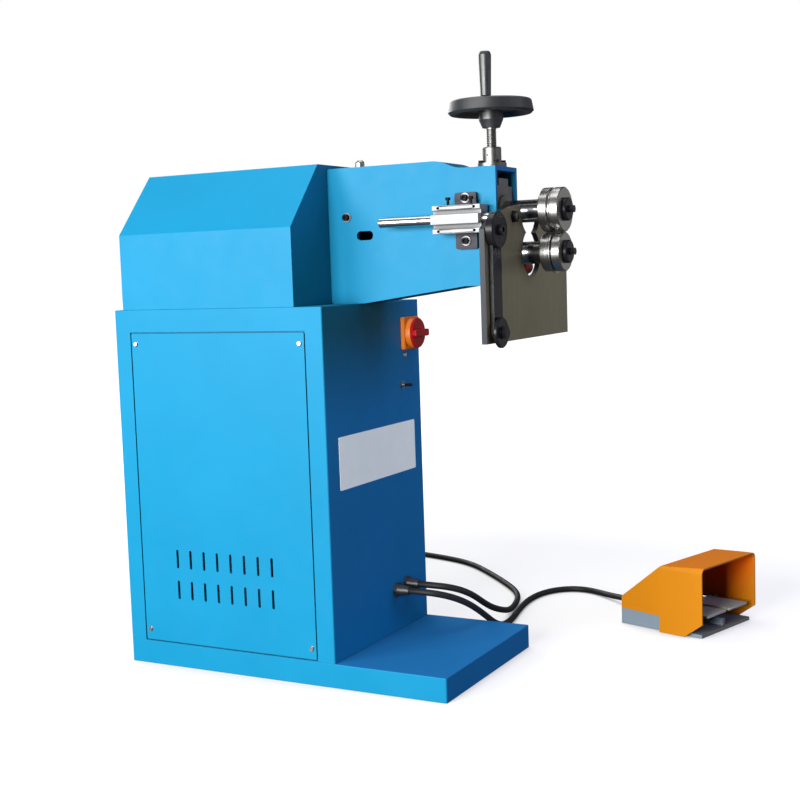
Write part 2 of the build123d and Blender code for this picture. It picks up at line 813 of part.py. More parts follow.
# Upper shaft with its gear and rolls
with BuildPart() as upper_shaft:
    roll_shaft(upper_z, arm_rear + upper_tail)
upper_shaft.part.label = "upper_shaft"
export_step(upper_shaft.part, "parts/upper_shaft.step")

with BuildPart() as upper_gear:
    spur_gear(upper_z, 270 + 180 / gear_teeth)
upper_gear.part.label = "upper_gear"
export_step(upper_gear.part, "parts/upper_gear.step")

with BuildPart() as upper_rolls:
    roll_discs(upper_z, upper_roll_radius, upper_roll_radius - roll_groove_depth / 2, roll_bead_inset)
upper_rolls.part.label = "upper_rolls"
export_step(upper_rolls.part, "parts/upper_rolls.step")

with BuildPart() as upper_roll_bolt:
    roll_fastener(upper_z)
upper_roll_bolt.part.label = "upper_roll_bolt"
export_step(upper_roll_bolt.part, "parts/upper_roll_bolt.step")

# Pad, keeper, screw and nut that set the height of the upper roll
pad_z = carrier_top + contact_gap
collar_z = pad_z + pad_height + contact_gap
collar_top = collar_z + collar_height
keeper_ceiling = collar_top + keeper_gap
with BuildPart() as thrust_pad:
    disc(Plane((spindle_x, 0, pad_z)), pad_radius, pad_height)
thrust_pad.part.label = "thrust_pad"
export_step(thrust_pad.part, "parts/thrust_pad.step")

with BuildPart() as screw_keeper:
    brick(Plane((spindle_x, 0, carrier_top)), keeper_size, keeper_size,
          keeper_ceiling + keeper_roof - carrier_top)
    disc(Plane((spindle_x, 0, carrier_top)), collar_radius + keeper_play, keeper_ceiling - carrier_top,
         mode=Mode.SUBTRACT)
    disc(Plane((spindle_x, 0, keeper_ceiling)), screw_radius + keeper_play, keeper_roof, mode=Mode.SUBTRACT)
screw_keeper.part.label = "screw_keeper"
export_step(screw_keeper.part, "parts/screw_keeper.step")

wheel_z = nose_top + wheel_lift
wheel_top = wheel_z + wheel_height
hub_bottom = wheel_z - hub_drop
dish_z = wheel_top - wheel_dish
nut_top = nose_top + nut_height
thread_start = nut_top - thread_hidden
thread_rings = int((hub_bottom - thread_start) / screw_pitch)
screw_outline = [(0, collar_z), (collar_radius, collar_z), (collar_radius, collar_top),
                 (screw_radius, collar_top)]
for ring in range(thread_rings):
    ring_z = thread_start + ring * screw_pitch
    root = screw_radius - thread_depth
    root_z = ring_z + screw_pitch * thread_flank
    root_end = root_z + screw_pitch * thread_root
    screw_outline += [(screw_radius, ring_z), (root, root_z), (root, root_end),
                      (screw_radius, root_end + screw_pitch * thread_flank)]
screw_outline += [(screw_radius, hub_bottom), (hub_bore, hub_bottom), (hub_bore, dish_z), (0, dish_z)]
with BuildPart() as adjusting_screw:
    turned_on_z(screw_outline, spindle_x, 0)
adjusting_screw.part.label = "adjusting_screw"
export_step(adjusting_screw.part, "parts/adjusting_screw.step")

oil_hole_z = nose_top + (nut_flange_height + nut_height) / 2
with BuildPart() as screw_nut:
    flange_top = nose_top + nut_flange_height
    turned_on_z([(screw_radius + running, nose_top - arm_plate),
                 (nut_spigot_radius - running, nose_top - arm_plate),
                 (nut_spigot_radius - running, nose_top), (nut_flange_radius, nose_top),
                 (nut_flange_radius, flange_top), (nut_radius, flange_top),
                 (nut_radius, nut_top - roll_edge), (nut_radius - roll_edge, nut_top),
                 (screw_radius + running, nut_top)], spindle_x, 0)
    with Locations(Plane((spindle_x, 0, nose_top))):
        with PolarLocations(nut_screw_circle, nut_screw_count, start_angle=180 / nut_screw_count):
            Cylinder(cap_screw_radius + running, nut_flange_height, align=STANDING, mode=Mode.SUBTRACT)
    disc(lengthwise(-nut_radius + nut_oil_hole, spindle_x, oil_hole_z), nut_oil_hole, 2 * nut_oil_hole,
         mode=Mode.SUBTRACT)
screw_nut.part.label = "screw_nut"
export_step(screw_nut.part, "parts/screw_nut.step")

# Handwheel with a dished top and its turning handle
web_bottom = dish_z - wheel_web
handle_axis_x = spindle_x + handle_x
handle_hole_bottom = web_bottom + handle_seat
with BuildPart() as handwheel:
    turned_on_z([(hub_bore + running, hub_bottom), (hub_radius, hub_bottom),
                 (hub_flare_radius, hub_bottom + hub_flare),
                 (hub_flare_radius, web_bottom), (wheel_radius - wheel_rim - wheel_web, web_bottom),
                 (wheel_radius - wheel_rim, wheel_z), (wheel_radius - wheel_edge, wheel_z),
                 (wheel_radius, wheel_z + wheel_edge), (wheel_top_radius, wheel_top - wheel_edge / 2),
                 (wheel_top_radius - wheel_edge / 2, wheel_top), (wheel_dish_radius, wheel_top),
                 (wheel_dish_radius - wheel_dish, dish_z), (hub_bore + running, dish_z)], spindle_x, 0)
    disc(Plane((handle_axis_x, handle_y, handle_hole_bottom)), handle_bolt_radius,
         wheel_top - handle_hole_bottom, mode=Mode.SUBTRACT)
handwheel.part.label = "handwheel"
export_step(handwheel.part, "parts/handwheel.step")

handle_z = wheel_top + contact_gap
handle_end = handle_z + handle_length
counterbore_z = handle_end - handle_bolt_head_height - 2 * contact_gap
with BuildPart() as wheel_handle:
    turned_on_z([(handle_bolt_radius + running, handle_z), (handle_foot_radius - roll_edge, handle_z),
                 (handle_foot_radius, handle_z + roll_edge), (handle_top_radius, handle_end - handle_round),
                 (handle_top_radius - handle_round / 4, handle_end - handle_round / 3),
                 (handle_top_radius - handle_round / 2, handle_end),
                 (handle_bolt_head + contact_gap, handle_end),
                 (handle_bolt_head + contact_gap, counterbore_z),
                 (handle_bolt_radius + running, counterbore_z)], handle_axis_x, handle_y)
wheel_handle.part.label = "wheel_handle"
export_step(wheel_handle.part, "parts/wheel_handle.step")

bolt_head_z = counterbore_z + contact_gap
with BuildPart() as handle_bolt:
    disc(Plane((handle_axis_x, handle_y, handle_hole_bottom)), handle_bolt_radius - running,
         bolt_head_z - handle_hole_bottom)
    disc(Plane((handle_axis_x, handle_y, bolt_head_z)), handle_bolt_head, handle_bolt_head_height)
handle_bolt.part.label = "handle_bolt"
export_step(handle_bolt.part, "parts/handle_bolt.step")

# Like socket screws: around the nut's flange and standing on the gauge's bearing block
block_outer = -arm_half - mount_plate_thickness
rod_y = block_outer - block_depth / 2
block_rear = block_x - block_length / 2
block_top = gauge_z + block_height / 2
lock_screw_bottom = gauge_z + rod_radius + contact_gap
with BuildPart() as cap_screws:
    for corner in range(nut_screw_count):
        turn = radians((corner + 0.5) * 360 / nut_screw_count)
        screw_x = spindle_x + nut_screw_circle * cos(turn)
        screw_y = nut_screw_circle * sin(turn)
        disc(Plane((screw_x, screw_y, nose_top - arm_plate)), cap_screw_radius,
             arm_plate + nut_flange_height)
        socket_head(Plane((screw_x, screw_y, nose_top + nut_flange_height)), cap_screw_head,
                    cap_screw_head_height)
    for along in (lock_screw_rear, lock_screw_front):
        disc(Plane((block_rear + along, rod_y, lock_screw_bottom)), cap_screw_radius,
             block_top + lock_screw_stand - lock_screw_bottom)
        socket_head(Plane((block_rear + along, rod_y, block_top + lock_screw_stand)), cap_screw_head,
                    cap_screw_head_height)
cap_screws.part.label = "cap_screws"
export_step(cap_screws.part, "parts/cap_screws.step")

# Mount plate of the sliding gauge, with the bolts and washers on the arm's left side
with BuildPart() as gauge_mount_plate:
    with BuildSketch(lengthwise(-arm_half, mount_x, gauge_z - mount_plate_drop)):
        RectangleRounded(mount_plate_width, mount_plate_height, arm_corner)
    extrude(amount=mount_plate_thickness)
    with Locations(lengthwise(-arm_half, mount_x, gauge_z)):
        with GridLocations(0, mount_bolt_spacing, 1, 2):
            Cylinder(side_bolt_radius + running, mount_plate_thickness, align=STANDING, mode=Mode.SUBTRACT)
gauge_mount_plate.part.label = "gauge_mount_plate"
export_step(gauge_mount_plate.part, "parts/gauge_mount_plate.step")

side_bolt_places = [(side_bolt_x, side_bolt_z, -arm_half)]
for side in (-1, 1):
    side_bolt_places.append((mount_x, gauge_z + side * mount_bolt_spacing / 2, block_outer))
side_bolt_length = arm_plate + mount_plate_thickness
with BuildPart() as side_washers:
    for bolt_x, bolt_z, seat_y in side_bolt_places:
        disc(lengthwise(seat_y, bolt_x, bolt_z), washer_radius, washer_height)
        disc(lengthwise(seat_y, bolt_x, bolt_z), side_bolt_radius + running, washer_height,
             mode=Mode.SUBTRACT)
side_washers.part.label = "side_washers"
export_step(side_washers.part, "parts/side_washers.step")

with BuildPart() as side_bolts:
    for bolt_x, bolt_z, seat_y in side_bolt_places:
        disc(lengthwise(seat_y + side_bolt_length, bolt_x, bolt_z), side_bolt_radius,
             side_bolt_length + washer_height)
        socket_head(lengthwise(seat_y - washer_height, bolt_x, bolt_z), side_bolt_head,
                    side_bolt_head_height)
side_bolts.part.label = "side_bolts"
export_step(side_bolts.part, "parts/side_bolts.step")

# Flanged linear bearing block that the gauge's rod slides in
half_block = block_height / 2
half_band = block_band_height / 2
flange_low = half_block - block_flange_height
half_section = [(-block_flange_depth, half_block), (-block_flange_depth, flange_low),
                (-block_recess_depth, flange_low), (-block_recess_depth, half_band),
                (-block_depth, half_band)]
lower_section = [(across_y, -up) for across_y, up in reversed(half_section)]
with BuildPart() as bearing_block:
    with BuildSketch(across(block_rear, block_outer, gauge_z)):
        Polygon((0, half_block), *half_section, *lower_section, (0, -half_block), align=None)
    extrude(amount=block_length)
    disc(across(block_rear, rod_y, gauge_z), rod_radius + running, block_length, mode=Mode.SUBTRACT)
    with Locations(lengthwise(block_outer, block_x, gauge_z)):
        with GridLocations(block_hole_span_x, block_hole_span_z, 2, 2):
            Cylinder(block_hole_radius, block_depth, align=STANDING, mode=Mode.SUBTRACT)
    for along in (lock_screw_rear, lock_screw_front):
        disc(Plane((block_rear + along, rod_y, gauge_z)), cap_screw_radius + running, half_block,
             mode=Mode.SUBTRACT)
bearing_block.part.label = "bearing_block"
export_step(bearing_block.part, "parts/bearing_block.step")

# Guide rod, with the stud that holds the gauge plate
gauge_back = arm_front + gauge_gap
gauge_front = gauge_back + gauge_thickness
with BuildPart() as guide_rod:
    disc(across(gauge_back - rod_length, rod_y, gauge_z), rod_radius, rod_length)
    chamfer(guide_rod.faces().sort_by(Axis.X)[0].edges(), roll_edge)
    disc(across(gauge_back, rod_y, gauge_z), rod_stud_radius, gauge_thickness + rod_nut_height)
guide_rod.part.label = "guide_rod"
export_step(guide_rod.part, "parts/guide_rod.step")

with BuildPart() as rod_nut:
    hexagon(across(gauge_front, rod_y, gauge_z), rod_nut_radius, rod_nut_height)
    disc(across(gauge_front, rod_y, gauge_z), rod_stud_radius + running, rod_nut_height, mode=Mode.SUBTRACT)
rod_nut.part.label = "rod_nut"
export_step(rod_nut.part, "parts/rod_nut.step")

# Gauge plate with a rounded shoulder, cut out round both rolls
shoulder_run = gauge_left - gauge_shoulder_start
shoulder_drop = gauge_shoulder_radius - sqrt(gauge_shoulder_radius**2 - shoulder_run**2)
link_y = -gauge_left + link_inset
link_z = top_z + link_pivot_up
with BuildPart() as gauge_plate:
    with BuildSketch(across(gauge_back)):
        with BuildLine():
            top_edge = Line((gauge_right, gauge_top), (-gauge_shoulder_start, gauge_top))
            shoulder = TangentArc(top_edge @ 1, (-gauge_left, gauge_top - shoulder_drop),
                                  tangent=top_edge % 1)
            Polyline(shoulder @ 1, (-gauge_left, gauge_bottom), (gauge_right, gauge_bottom), top_edge @ 0)
        make_face()
        for axis_z, roll_radius in ((lower_z, lower_roll_radius + roll_bead), (upper_z, upper_roll_radius)):
            with Locations((0, axis_z)):
                Circle(roll_radius + gauge_roll_clearance, mode=Mode.SUBTRACT)
        with Locations((rod_y, gauge_z)):
            Circle(rod_stud_radius + running, mode=Mode.SUBTRACT)
        with Locations((link_y, link_z)):
            Circle(link_pivot_radius, mode=Mode.SUBTRACT)
    extrude(amount=gauge_thickness)
gauge_plate.part.label = "gauge_plate"
export_step(gauge_plate.part, "parts/gauge_plate.step")

# Swing link: round hub, bar and the roller at its end
link_back = gauge_front + link_stand_off
link_front = link_back + link_thickness
hub_front = link_back + link_hub_thickness
roller_z = link_z - link_length
with BuildPart() as swing_link:
    with BuildSketch(across(link_back, link_y, (link_z + roller_z) / 2)):
        SlotCenterToCenter(link_length, link_width, rotation=90)
    extrude(amount=link_thickness)
    disc(across(link_back, link_y, link_z), link_hub_radius, link_hub_thickness)
    chamfer(swing_link.faces().sort_by(Axis.X)[-1].edges(), roll_edge)
    disc(across(gauge_front + contact_gap, link_y, link_z), link_boss_radius, link_stand_off - contact_gap)
    disc(across(gauge_front, link_y, link_z), link_pivot_radius + running, hub_front - gauge_front,
         mode=Mode.SUBTRACT)
    disc(across(link_back, link_y, roller_z), roller_bolt_radius + running, link_thickness,
         mode=Mode.SUBTRACT)
swing_link.part.label = "swing_link"
export_step(swing_link.part, "parts/swing_link.step")

pivot_head_x = hub_front + contact_gap
with BuildPart() as link_pivot_screw:
    disc(across(gauge_back, link_y, link_z), link_pivot_radius - running, gauge_thickness)
    disc(across(gauge_front, link_y, link_z), link_pivot_radius, pivot_head_x - gauge_front)
    socket_head(across(pivot_head_x, link_y, link_z), link_pivot_head, link_pivot_head_height)
link_pivot_screw.part.label = "link_pivot_screw"
export_step(link_pivot_screw.part, "parts/link_pivot_screw.step")

roller_back = link_front + contact_gap
roller_bore = roller_bolt_radius + running
roller_face = roller_back + roller_width
roller_end = roller_back + roller_hub_width
with BuildPart() as guide_roller:
    turned_on_x([(roller_back, roller_bore), (roller_back, roller_radius - roll_edge),
                 (roller_back + roll_edge, roller_radius), (roller_face - roll_edge, roller_radius),
                 (roller_face, roller_radius - roll_edge), (roller_face, roller_hub_radius),
                 (roller_end, roller_hub_radius), (roller_end, roller_bore)], link_y, roller_z)
guide_roller.part.label = "guide_roller"
export_step(guide_roller.part, "parts/guide_roller.step")

with BuildPart() as roller_bolt:
    disc(across(link_back, link_y, roller_z), roller_bolt_radius, roller_end + contact_gap - link_back)
    hexagon(across(roller_end + contact_gap, link_y, roller_z), roller_nut_radius, roller_nut_height)
roller_bolt.part.label = "roller_bolt"
export_step(roller_bolt.part, "parts/roller_bolt.step")

# Main switch: square plate with a raised ring, and the turning knob with its grip bar
switch_face = front_x + switch_thickness
ring_face = switch_face + switch_ring_height
with BuildPart() as switch_plate:
    with BuildSketch(across(front_x, switch_y, switch_z)):
        RectangleRounded(switch_size, switch_size, switch_corner)
    extrude(amount=switch_thickness)
    chamfer(switch_plate.faces().sort_by(Axis.X)[-1].outer_wire().edges(), roll_edge)
    disc(across(switch_face, switch_y, switch_z), knob_radius, switch_ring_height)
    disc(across(front_x, switch_y, switch_z), knob_spindle_radius + running, ring_face - front_x,
         mode=Mode.SUBTRACT)
switch_plate.part.label = "switch_plate"
export_step(switch_plate.part, "parts/switch_plate.step")

knob_start = ring_face + contact_gap
knob_end = knob_start + knob_thickness
with BuildPart() as switch_knob:
    turned_on_x([(front_x + contact_gap, 0), (front_x + contact_gap, knob_spindle_radius),
                 (knob_start, knob_spindle_radius), (knob_start, knob_radius),
                 (knob_end - roll_edge, knob_radius), (knob_end, knob_radius - roll_edge),
                 (knob_end, 0)], switch_y, switch_z)
    with BuildSketch(across(knob_end, switch_y, switch_z)):
        RectangleRounded(grip_length, grip_width, grip_corner)
    extrude(amount=grip_height)
    fillet(switch_knob.faces().sort_by(Axis.X)[-1].edges(), roll_edge)
switch_knob.part.label = "switch_knob"
export_step(switch_knob.part, "parts/switch_knob.step")

# Direction toggle: body behind the panel with its threaded bush and nut, and the lever
lever_pivot_x = front_x + toggle_bush_length - toggle_lever_radius
with BuildPart() as toggle_body:
    brick(across(front_x - cabinet_sheet - toggle_body_depth, toggle_y, toggle_z), toggle_body_width,
          toggle_body_width, toggle_body_depth)
    disc(across(front_x - cabinet_sheet, toggle_y, toggle_z), toggle_bush_radius,
         cabinet_sheet + toggle_bush_length)
    hexagon(across(front_x, toggle_y, toggle_z), toggle_nut_radius, toggle_nut_height)
    disc(across(lever_pivot_x - toggle_ball_radius - contact_gap, toggle_y, toggle_z),
         toggle_ball_radius + contact_gap, toggle_bush_length + toggle_ball_radius, mode=Mode.SUBTRACT)
toggle_body.part.label = "toggle_body"
export_step(toggle_body.part, "parts/toggle_body.step")

lever_outline = []
for ring in range(toggle_ball_rings + 1):
    turn = radians(toggle_ball_sweep * ring / toggle_ball_rings)
    lever_outline.append((lever_pivot_x - toggle_ball_radius * cos(turn), toggle_ball_radius * sin(turn)))
lever_end = lever_pivot_x + toggle_lever_length
with BuildPart() as toggle_lever:
    turned_on_x([*lever_outline, (lever_end - toggle_tip_round, toggle_lever_tip),
                 (lever_end - toggle_tip_round / 3, toggle_lever_tip - toggle_tip_round / 3),
                 (lever_end, toggle_lever_tip - toggle_tip_round), (lever_end, 0)], toggle_y, toggle_z)
toggle_lever.part.label = "toggle_lever"
export_step(toggle_lever.part, "parts/toggle_lever.step")

# Blank plate on the cabinet front
with BuildPart() as name_plate:
    with BuildSketch(across(front_x, plate_y, plate_z)):
        RectangleRounded(plate_width, plate_height, sheet_bend)
    extrude(amount=plate_thickness)
name_plate.part.label = "name_plate"
export_step(name_plate.part, "parts/name_plate.step")

# The pedal's own frame: x forward, y across, turned on the floor
pedal_heading = (cos(radians(pedal_turn)), sin(radians(pedal_turn)), 0)
pedal_sideways = (-sin(radians(pedal_turn)), cos(radians(pedal_turn)), 0)
pedal_frame = Plane(origin=(base_length / 2 + pedal_forward, pedal_aside, 0), x_dir=pedal_heading,
                    z_dir=(0, 0, 1))


def pedal_floor(forward, aside, up):
    """Level plane at a place in the pedal's frame."""
    return Plane(origin=pedal_frame.from_local_coords((forward, aside, up)), x_dir=pedal_heading,
                 z_dir=(0, 0, 1))


def pedal_side(aside, forward=0.0, up=0.0):
    """Upright plane along the pedal, facing its near side: its own y runs up."""
    facing = tuple(-part for part in pedal_sideways)
    return Plane(origin=pedal_frame.from_local_coords((forward, aside, up)), x_dir=pedal_heading,
                 z_dir=facing)


# Cable glands: two on the cabinet front and one at the back of the pedal
gland_places = [across(front_x, pedal_gland_y, pedal_gland_z),
                across(front_x, mains_gland_y, mains_gland_z)]
pedal_gland_back = Plane(origin=pedal_frame.from_local_coords((0, pedal_gland_aside, pedal_gland_up)),
                         x_dir=(0, 0, 1), z_dir=tuple(-part for part in pedal_heading))
gland_length = gland_nut_height + gland_dome_height
with BuildPart() as cable_glands:
    for place in (*gland_places, pedal_gland_back):
        hexagon(place, gland_nut_radius, gland_nut_height)
        with Locations(place.offset(gland_nut_height)):
            Cone(gland_dome_radius, gland_tip_radius, gland_dome_height, align=STANDING)
    for place in gland_places:
        disc(place.offset(-gland_tail), gland_thread_radius, gland_tail)
cable_glands.part.label = "cable_glands"
export_step(cable_glands.part, "parts/cable_glands.step")

# Drive inside the cabinet: gear motor on the platform, its sprocket and the chain up to the lower shaft
motor_z = base_height + motor_axis_up
gearbox_x = sprocket_x + gearbox_forward
motor_x = gearbox_x + gearbox_length
with BuildPart() as gear_motor:
    brick(Plane((gearbox_x + gearbox_length / 2, 0, base_height)), gearbox_length, gearbox_width,
          gearbox_height)
    fillet(gear_motor.edges().filter_by(Axis.X), arm_corner)
    disc(across(motor_x, 0, motor_z), motor_radius, motor_length)
    fillet(gear_motor.faces().sort_by(Axis.X)[-1].edges(), arm_corner)
    brick(Plane((motor_x + motor_length / 2, 0, motor_z)), terminal_box_length, terminal_box_width,
          motor_radius + terminal_box_height)
    disc(across(lower_tail, 0, motor_z), gearbox_shaft_radius, gearbox_x - lower_tail)
gear_motor.part.label = "gear_motor"
export_step(gear_motor.part, "parts/gear_motor.step")

with BuildPart() as motor_sprocket:
    chain_sprocket(motor_z, gearbox_shaft_radius + running)
motor_sprocket.part.label = "motor_sprocket"
export_step(motor_sprocket.part, "parts/motor_sprocket.step")

chain_inner = sprocket_radius + contact_gap
with BuildPart() as drive_chain:
    with BuildSketch(across(sprocket_x - chain_width / 2, 0, (lower_z + motor_z) / 2)):
        SlotCenterToCenter(lower_z - motor_z, 2 * (chain_inner + chain_height), rotation=90)
        SlotCenterToCenter(lower_z - motor_z, 2 * chain_inner, rotation=90, mode=Mode.SUBTRACT)
    extrude(amount=chain_width)
drive_chain.part.label = "drive_chain"
export_step(drive_chain.part, "parts/drive_chain.step")

# Foot pedal: base with its rear box, divider and pin ears
divider_aside = pedal_base_width / 2
pin_z = treadle_top - treadle_thickness - treadle_pin_drop
treadle_width = (pedal_base_width - divider_width) / 2 - treadle_ear - 2 * treadle_gap
with BuildPart() as pedal_base:
    brick(pedal_floor(pedal_base_length / 2, divider_aside, 0), pedal_base_length, pedal_base_width,
          pedal_plate)
    brick(pedal_floor(pedal_box_length / 2, divider_aside, 0), pedal_box_length, pedal_base_width,
          pedal_box_height)
    divider_length = pedal_base_length - divider_end - pedal_box_length
    brick(pedal_floor(pedal_box_length + divider_length / 2, divider_aside, 0), divider_length,
          divider_width, divider_height)
    for aside, width in ((treadle_ear / 2, treadle_ear), (divider_aside, divider_width),
                         (pedal_base_width - treadle_ear / 2, treadle_ear)):
        brick(pedal_floor(treadle_pivot, aside, 0), 2 * treadle_boss, width, pin_z + treadle_boss)
    disc(pedal_side(pedal_base_width, treadle_pivot, pin_z), treadle_pin_radius + running, pedal_base_width,
         mode=Mode.SUBTRACT)
pedal_base.part.label = "pedal_base"
export_step(pedal_base.part, "parts/pedal_base.step")

with BuildPart() as pedal_pin:
    disc(pedal_side(pedal_base_width, treadle_pivot, pin_z), treadle_pin_radius, pedal_base_width)
pedal_pin.part.label = "pedal_pin"
export_step(pedal_pin.part, "parts/pedal_pin.step")


def treadle(near_side):
    """One treadle: tread plate on a round boss."""
    far_side = near_side + treadle_width
    middle = near_side + treadle_width / 2
    tread_bottom = treadle_top - treadle_thickness
    brick(pedal_floor((treadle_pivot + treadle_end) / 2, middle, tread_bottom), treadle_end - treadle_pivot,
          treadle_width, treadle_thickness)
    disc(pedal_side(far_side, treadle_pivot, pin_z), treadle_boss, treadle_width)
    disc(pedal_side(far_side, treadle_pivot, pin_z), treadle_pin_radius + running, treadle_width,
         mode=Mode.SUBTRACT)


with BuildPart() as left_pedal:
    treadle(treadle_ear + treadle_gap)
left_pedal.part.label = "left_pedal"
export_step(left_pedal.part, "parts/left_pedal.step")

with BuildPart() as right_pedal:
    treadle(divider_aside + divider_width / 2 + treadle_gap)
right_pedal.part.label = "right_pedal"
export_step(right_pedal.part, "parts/right_pedal.step")

# Hood of the pedal: flared plan cut by its side outline, and the same shape a sheet smaller inside
rear_slope = (hood_fold_height - hood_rear_height) / hood_fold
top_slope = (hood_height - hood_fold_height) / (hood_length - hood_fold)
flare_slope = hood_flare / hood_fold
rear_depth = hood_sheet * sqrt(1 + rear_slope**2)
top_depth = hood_sheet * sqrt(1 + top_slope**2)
inner_fold = hood_fold + (rear_depth - top_depth) / (rear_slope - top_slope)
mouth = hood_length + hood_flare


def hood_plan(rear, front, inset):
    """Plan of the hood, flared to the fold and straight from there, from rear to front."""
    rear_aside = inset - rear * flare_slope
    fold_aside = inset - hood_flare
    near_side = [(rear, rear_aside), (hood_fold, fold_aside), (front, fold_aside)]
    far_side = [(forward, pedal_base_width - aside) for forward, aside in reversed(near_side)]
    return near_side + far_side


def hood_end(inset, top):
    """Cut the hood being built to its end outline, round at the top corners."""
    with BuildSketch(Plane(origin=pedal_frame.from_local_coords((0, divider_aside, 0)),
                           x_dir=pedal_sideways, z_dir=pedal_heading)) as outline:
        RectangleRounded(pedal_base_width + 2 * (hood_flare - inset), 2 * top, hood_round - inset)
    extrude(outline.sketch, amount=mouth, mode=Mode.INTERSECT)


with BuildPart() as hood_inside:
    with BuildSketch(pedal_frame):
        Polygon(*hood_plan(hood_sheet, mouth, hood_sheet * sqrt(1 + flare_slope**2)), align=None)
    extrude(amount=hood_height)
    with BuildSketch(pedal_side(pedal_base_width + hood_flare)):
        Polygon((hood_sheet, 0), (hood_sheet, hood_rear_height + hood_sheet * rear_slope - rear_depth),
                (inner_fold, hood_rear_height + inner_fold * rear_slope - rear_depth),
                (mouth, hood_height + (mouth - hood_length) * top_slope - top_depth), (mouth, 0), align=None)
    extrude(amount=pedal_base_width + 2 * hood_flare, mode=Mode.INTERSECT)
    hood_end(hood_sheet, hood_height - top_depth)

with BuildPart() as pedal_hood:
    with BuildSketch(pedal_frame):
        Polygon(*hood_plan(0, hood_length, 0), align=None)
    extrude(amount=hood_height)
    with BuildSketch(pedal_side(pedal_base_width + hood_flare)):
        Polygon((0, pedal_box_height), (0, hood_rear_height), (hood_fold, hood_fold_height),
                (hood_length, hood_height), (hood_length, hood_lip_height), (hood_foot_front, 0),
                (hood_foot_rear, 0), (hood_foot_rear, pedal_box_height), align=None)
    extrude(amount=pedal_base_width + 2 * hood_flare, mode=Mode.INTERSECT)
    hood_end(0, hood_height)
    add(hood_inside.part, mode=Mode.SUBTRACT)
pedal_hood.part.label = "pedal_hood"
export_step(pedal_hood.part, "parts/pedal_hood.step")


def cable_radii(points):
    """Bend radius at each inner point of a route, as large as its two runs allow."""
    corners = [Vector(*point) for point in points]
    radii = []
    for before, corner, after in zip(corners, corners[1:], corners[2:]):
        turn = radians((corner - before).get_angle(after - corner))
        shorter = min((corner - before).length, (after - corner).length)
        radii.append(bend_share * shorter / tan(turn / 2))
    return radii


def report_cable(name, part, length, radii):
    """Say how long a cable is, how tight it bends and how its volume compares with section times length."""
    expected = pi * cable_radius**2 * length
    print(name, "length", round(length), "radii", [round(radius) for radius in radii],
          "volume share", round(part.volume / expected, 4))


# Pedal cable, from its gland on the cabinet down to the floor and along it to the pedal
gland_end = front_x + gland_length
pedal_gland_end = pedal_gland_back.offset(gland_length).origin
lie = cable_radius + floor_gap
pedal_entry = pedal_gland_back.offset(gland_length + exit_run).origin
pedal_route = [(gland_end, pedal_gland_y, pedal_gland_z),
               (gland_end + exit_run, pedal_gland_y, pedal_gland_z)]
for along, aside, up in ((560, 66, 124.5), (583, 91, 113), (596, 126, 94.5), (602, 162, 72.5),
                         (604, 197, 50.5), (604.5, 233, 28.5), (603.5, 272, 13), (600, 314, 8),
                         (592.5, 357, lie), (583, 401, lie), (574, 446, lie), (567.5, 491, lie),
                         (566, 536, lie), (572, 579, lie), (590, 616, lie), (620, 640, lie),
                         (656, 643, lie), (692, 628, lie), (725, 603.5, 9), (757, 577, 13.5)):
    pedal_route.append((rear_x + along, aside, up))
pedal_route += [tuple(pedal_entry), tuple(pedal_gland_end)]
pedal_radii = cable_radii(pedal_route)
with BuildPart() as pedal_cable:
    with BuildLine() as pedal_path:
        FilletPolyline(*pedal_route, radius=pedal_radii)
    with BuildSketch(Plane(origin=pedal_path.line @ 0, z_dir=pedal_path.line % 0)):
        Circle(cable_radius)
    sweep()
report_cable("pedal cable", pedal_cable.part, pedal_path.wire().length, pedal_radii)
pedal_cable.part.label = "pedal_cable"
export_step(pedal_cable.part, "parts/pedal_cable.step")

# Mains cable, from its gland to the floor and behind the cabinet to its coil
coil_x = rear_x + coil_along
coil_outer_radius = coil_inner_radius + coil_pitch * coil_turns
straight_end = 2 * cable_radius
mains_route = [(gland_end, mains_gland_y, mains_gland_z),
               (gland_end + exit_run, mains_gland_y, mains_gland_z)]
for along, aside, up in ((560, 108, 129), (582, 130, 119), (593.5, 161, 101.5), (597, 197, 79.5),
                         (597, 236, 60), (594.5, 277, 45), (588, 319, 32), (578, 362, 20.5),
                         (566, 406, 11), (555, 451, lie), (543, 496, lie), (526, 540, lie),
                         (500, 582, lie), (466, 623, lie), (428, 664, lie), (388, 705, lie),
                         (346, 746, lie), (303, 784, lie), (256, 813, lie), (207, 832, lie),
                         (157, 847, lie), (110, 858, lie)):
    mains_route.append((rear_x + along, aside, up))
coil_entry_y = coil_aside + coil_outer_radius
mains_route.append((coil_x + straight_end + coil_lead_in, coil_entry_y, lie))
mains_route.append((coil_x + straight_end, coil_entry_y, lie))
mains_radii = cable_radii(mains_route)
with BuildPart() as mains_cable:
    with BuildLine() as mains_path:
        FilletPolyline(*mains_route, radius=mains_radii)
    with BuildSketch(Plane(origin=mains_path.line @ 0, z_dir=mains_path.line % 0)):
        Circle(cable_radius)
    sweep()
report_cable("mains cable", mains_cable.part, mains_path.wire().length, mains_radii)
mains_cable.part.label = "mains_cable"
export_step(mains_cable.part, "parts/mains_cable.step")


def coil_place(turns):
    """Centre of the coiled cable after so many turns: in on the floor, up a layer, and out again on top."""
    climb_start = coil_turns
    climb_end = coil_turns + climb_turns
    if turns < climb_start:
        radius = coil_outer_radius - coil_pitch * turns
        up = lie
    elif turns < climb_end:
        radius = coil_inner_radius
        up = lie + coil_layer * (1 - cos(pi * (turns - climb_start) / climb_turns)) / 2
    else:
        radius = coil_inner_radius + coil_pitch * (turns - climb_end)
        up = lie + coil_layer
    angle = pi / 2 + 2 * pi * turns
    return Vector(coil_x + radius * cos(angle), coil_aside + radius * sin(angle), up)


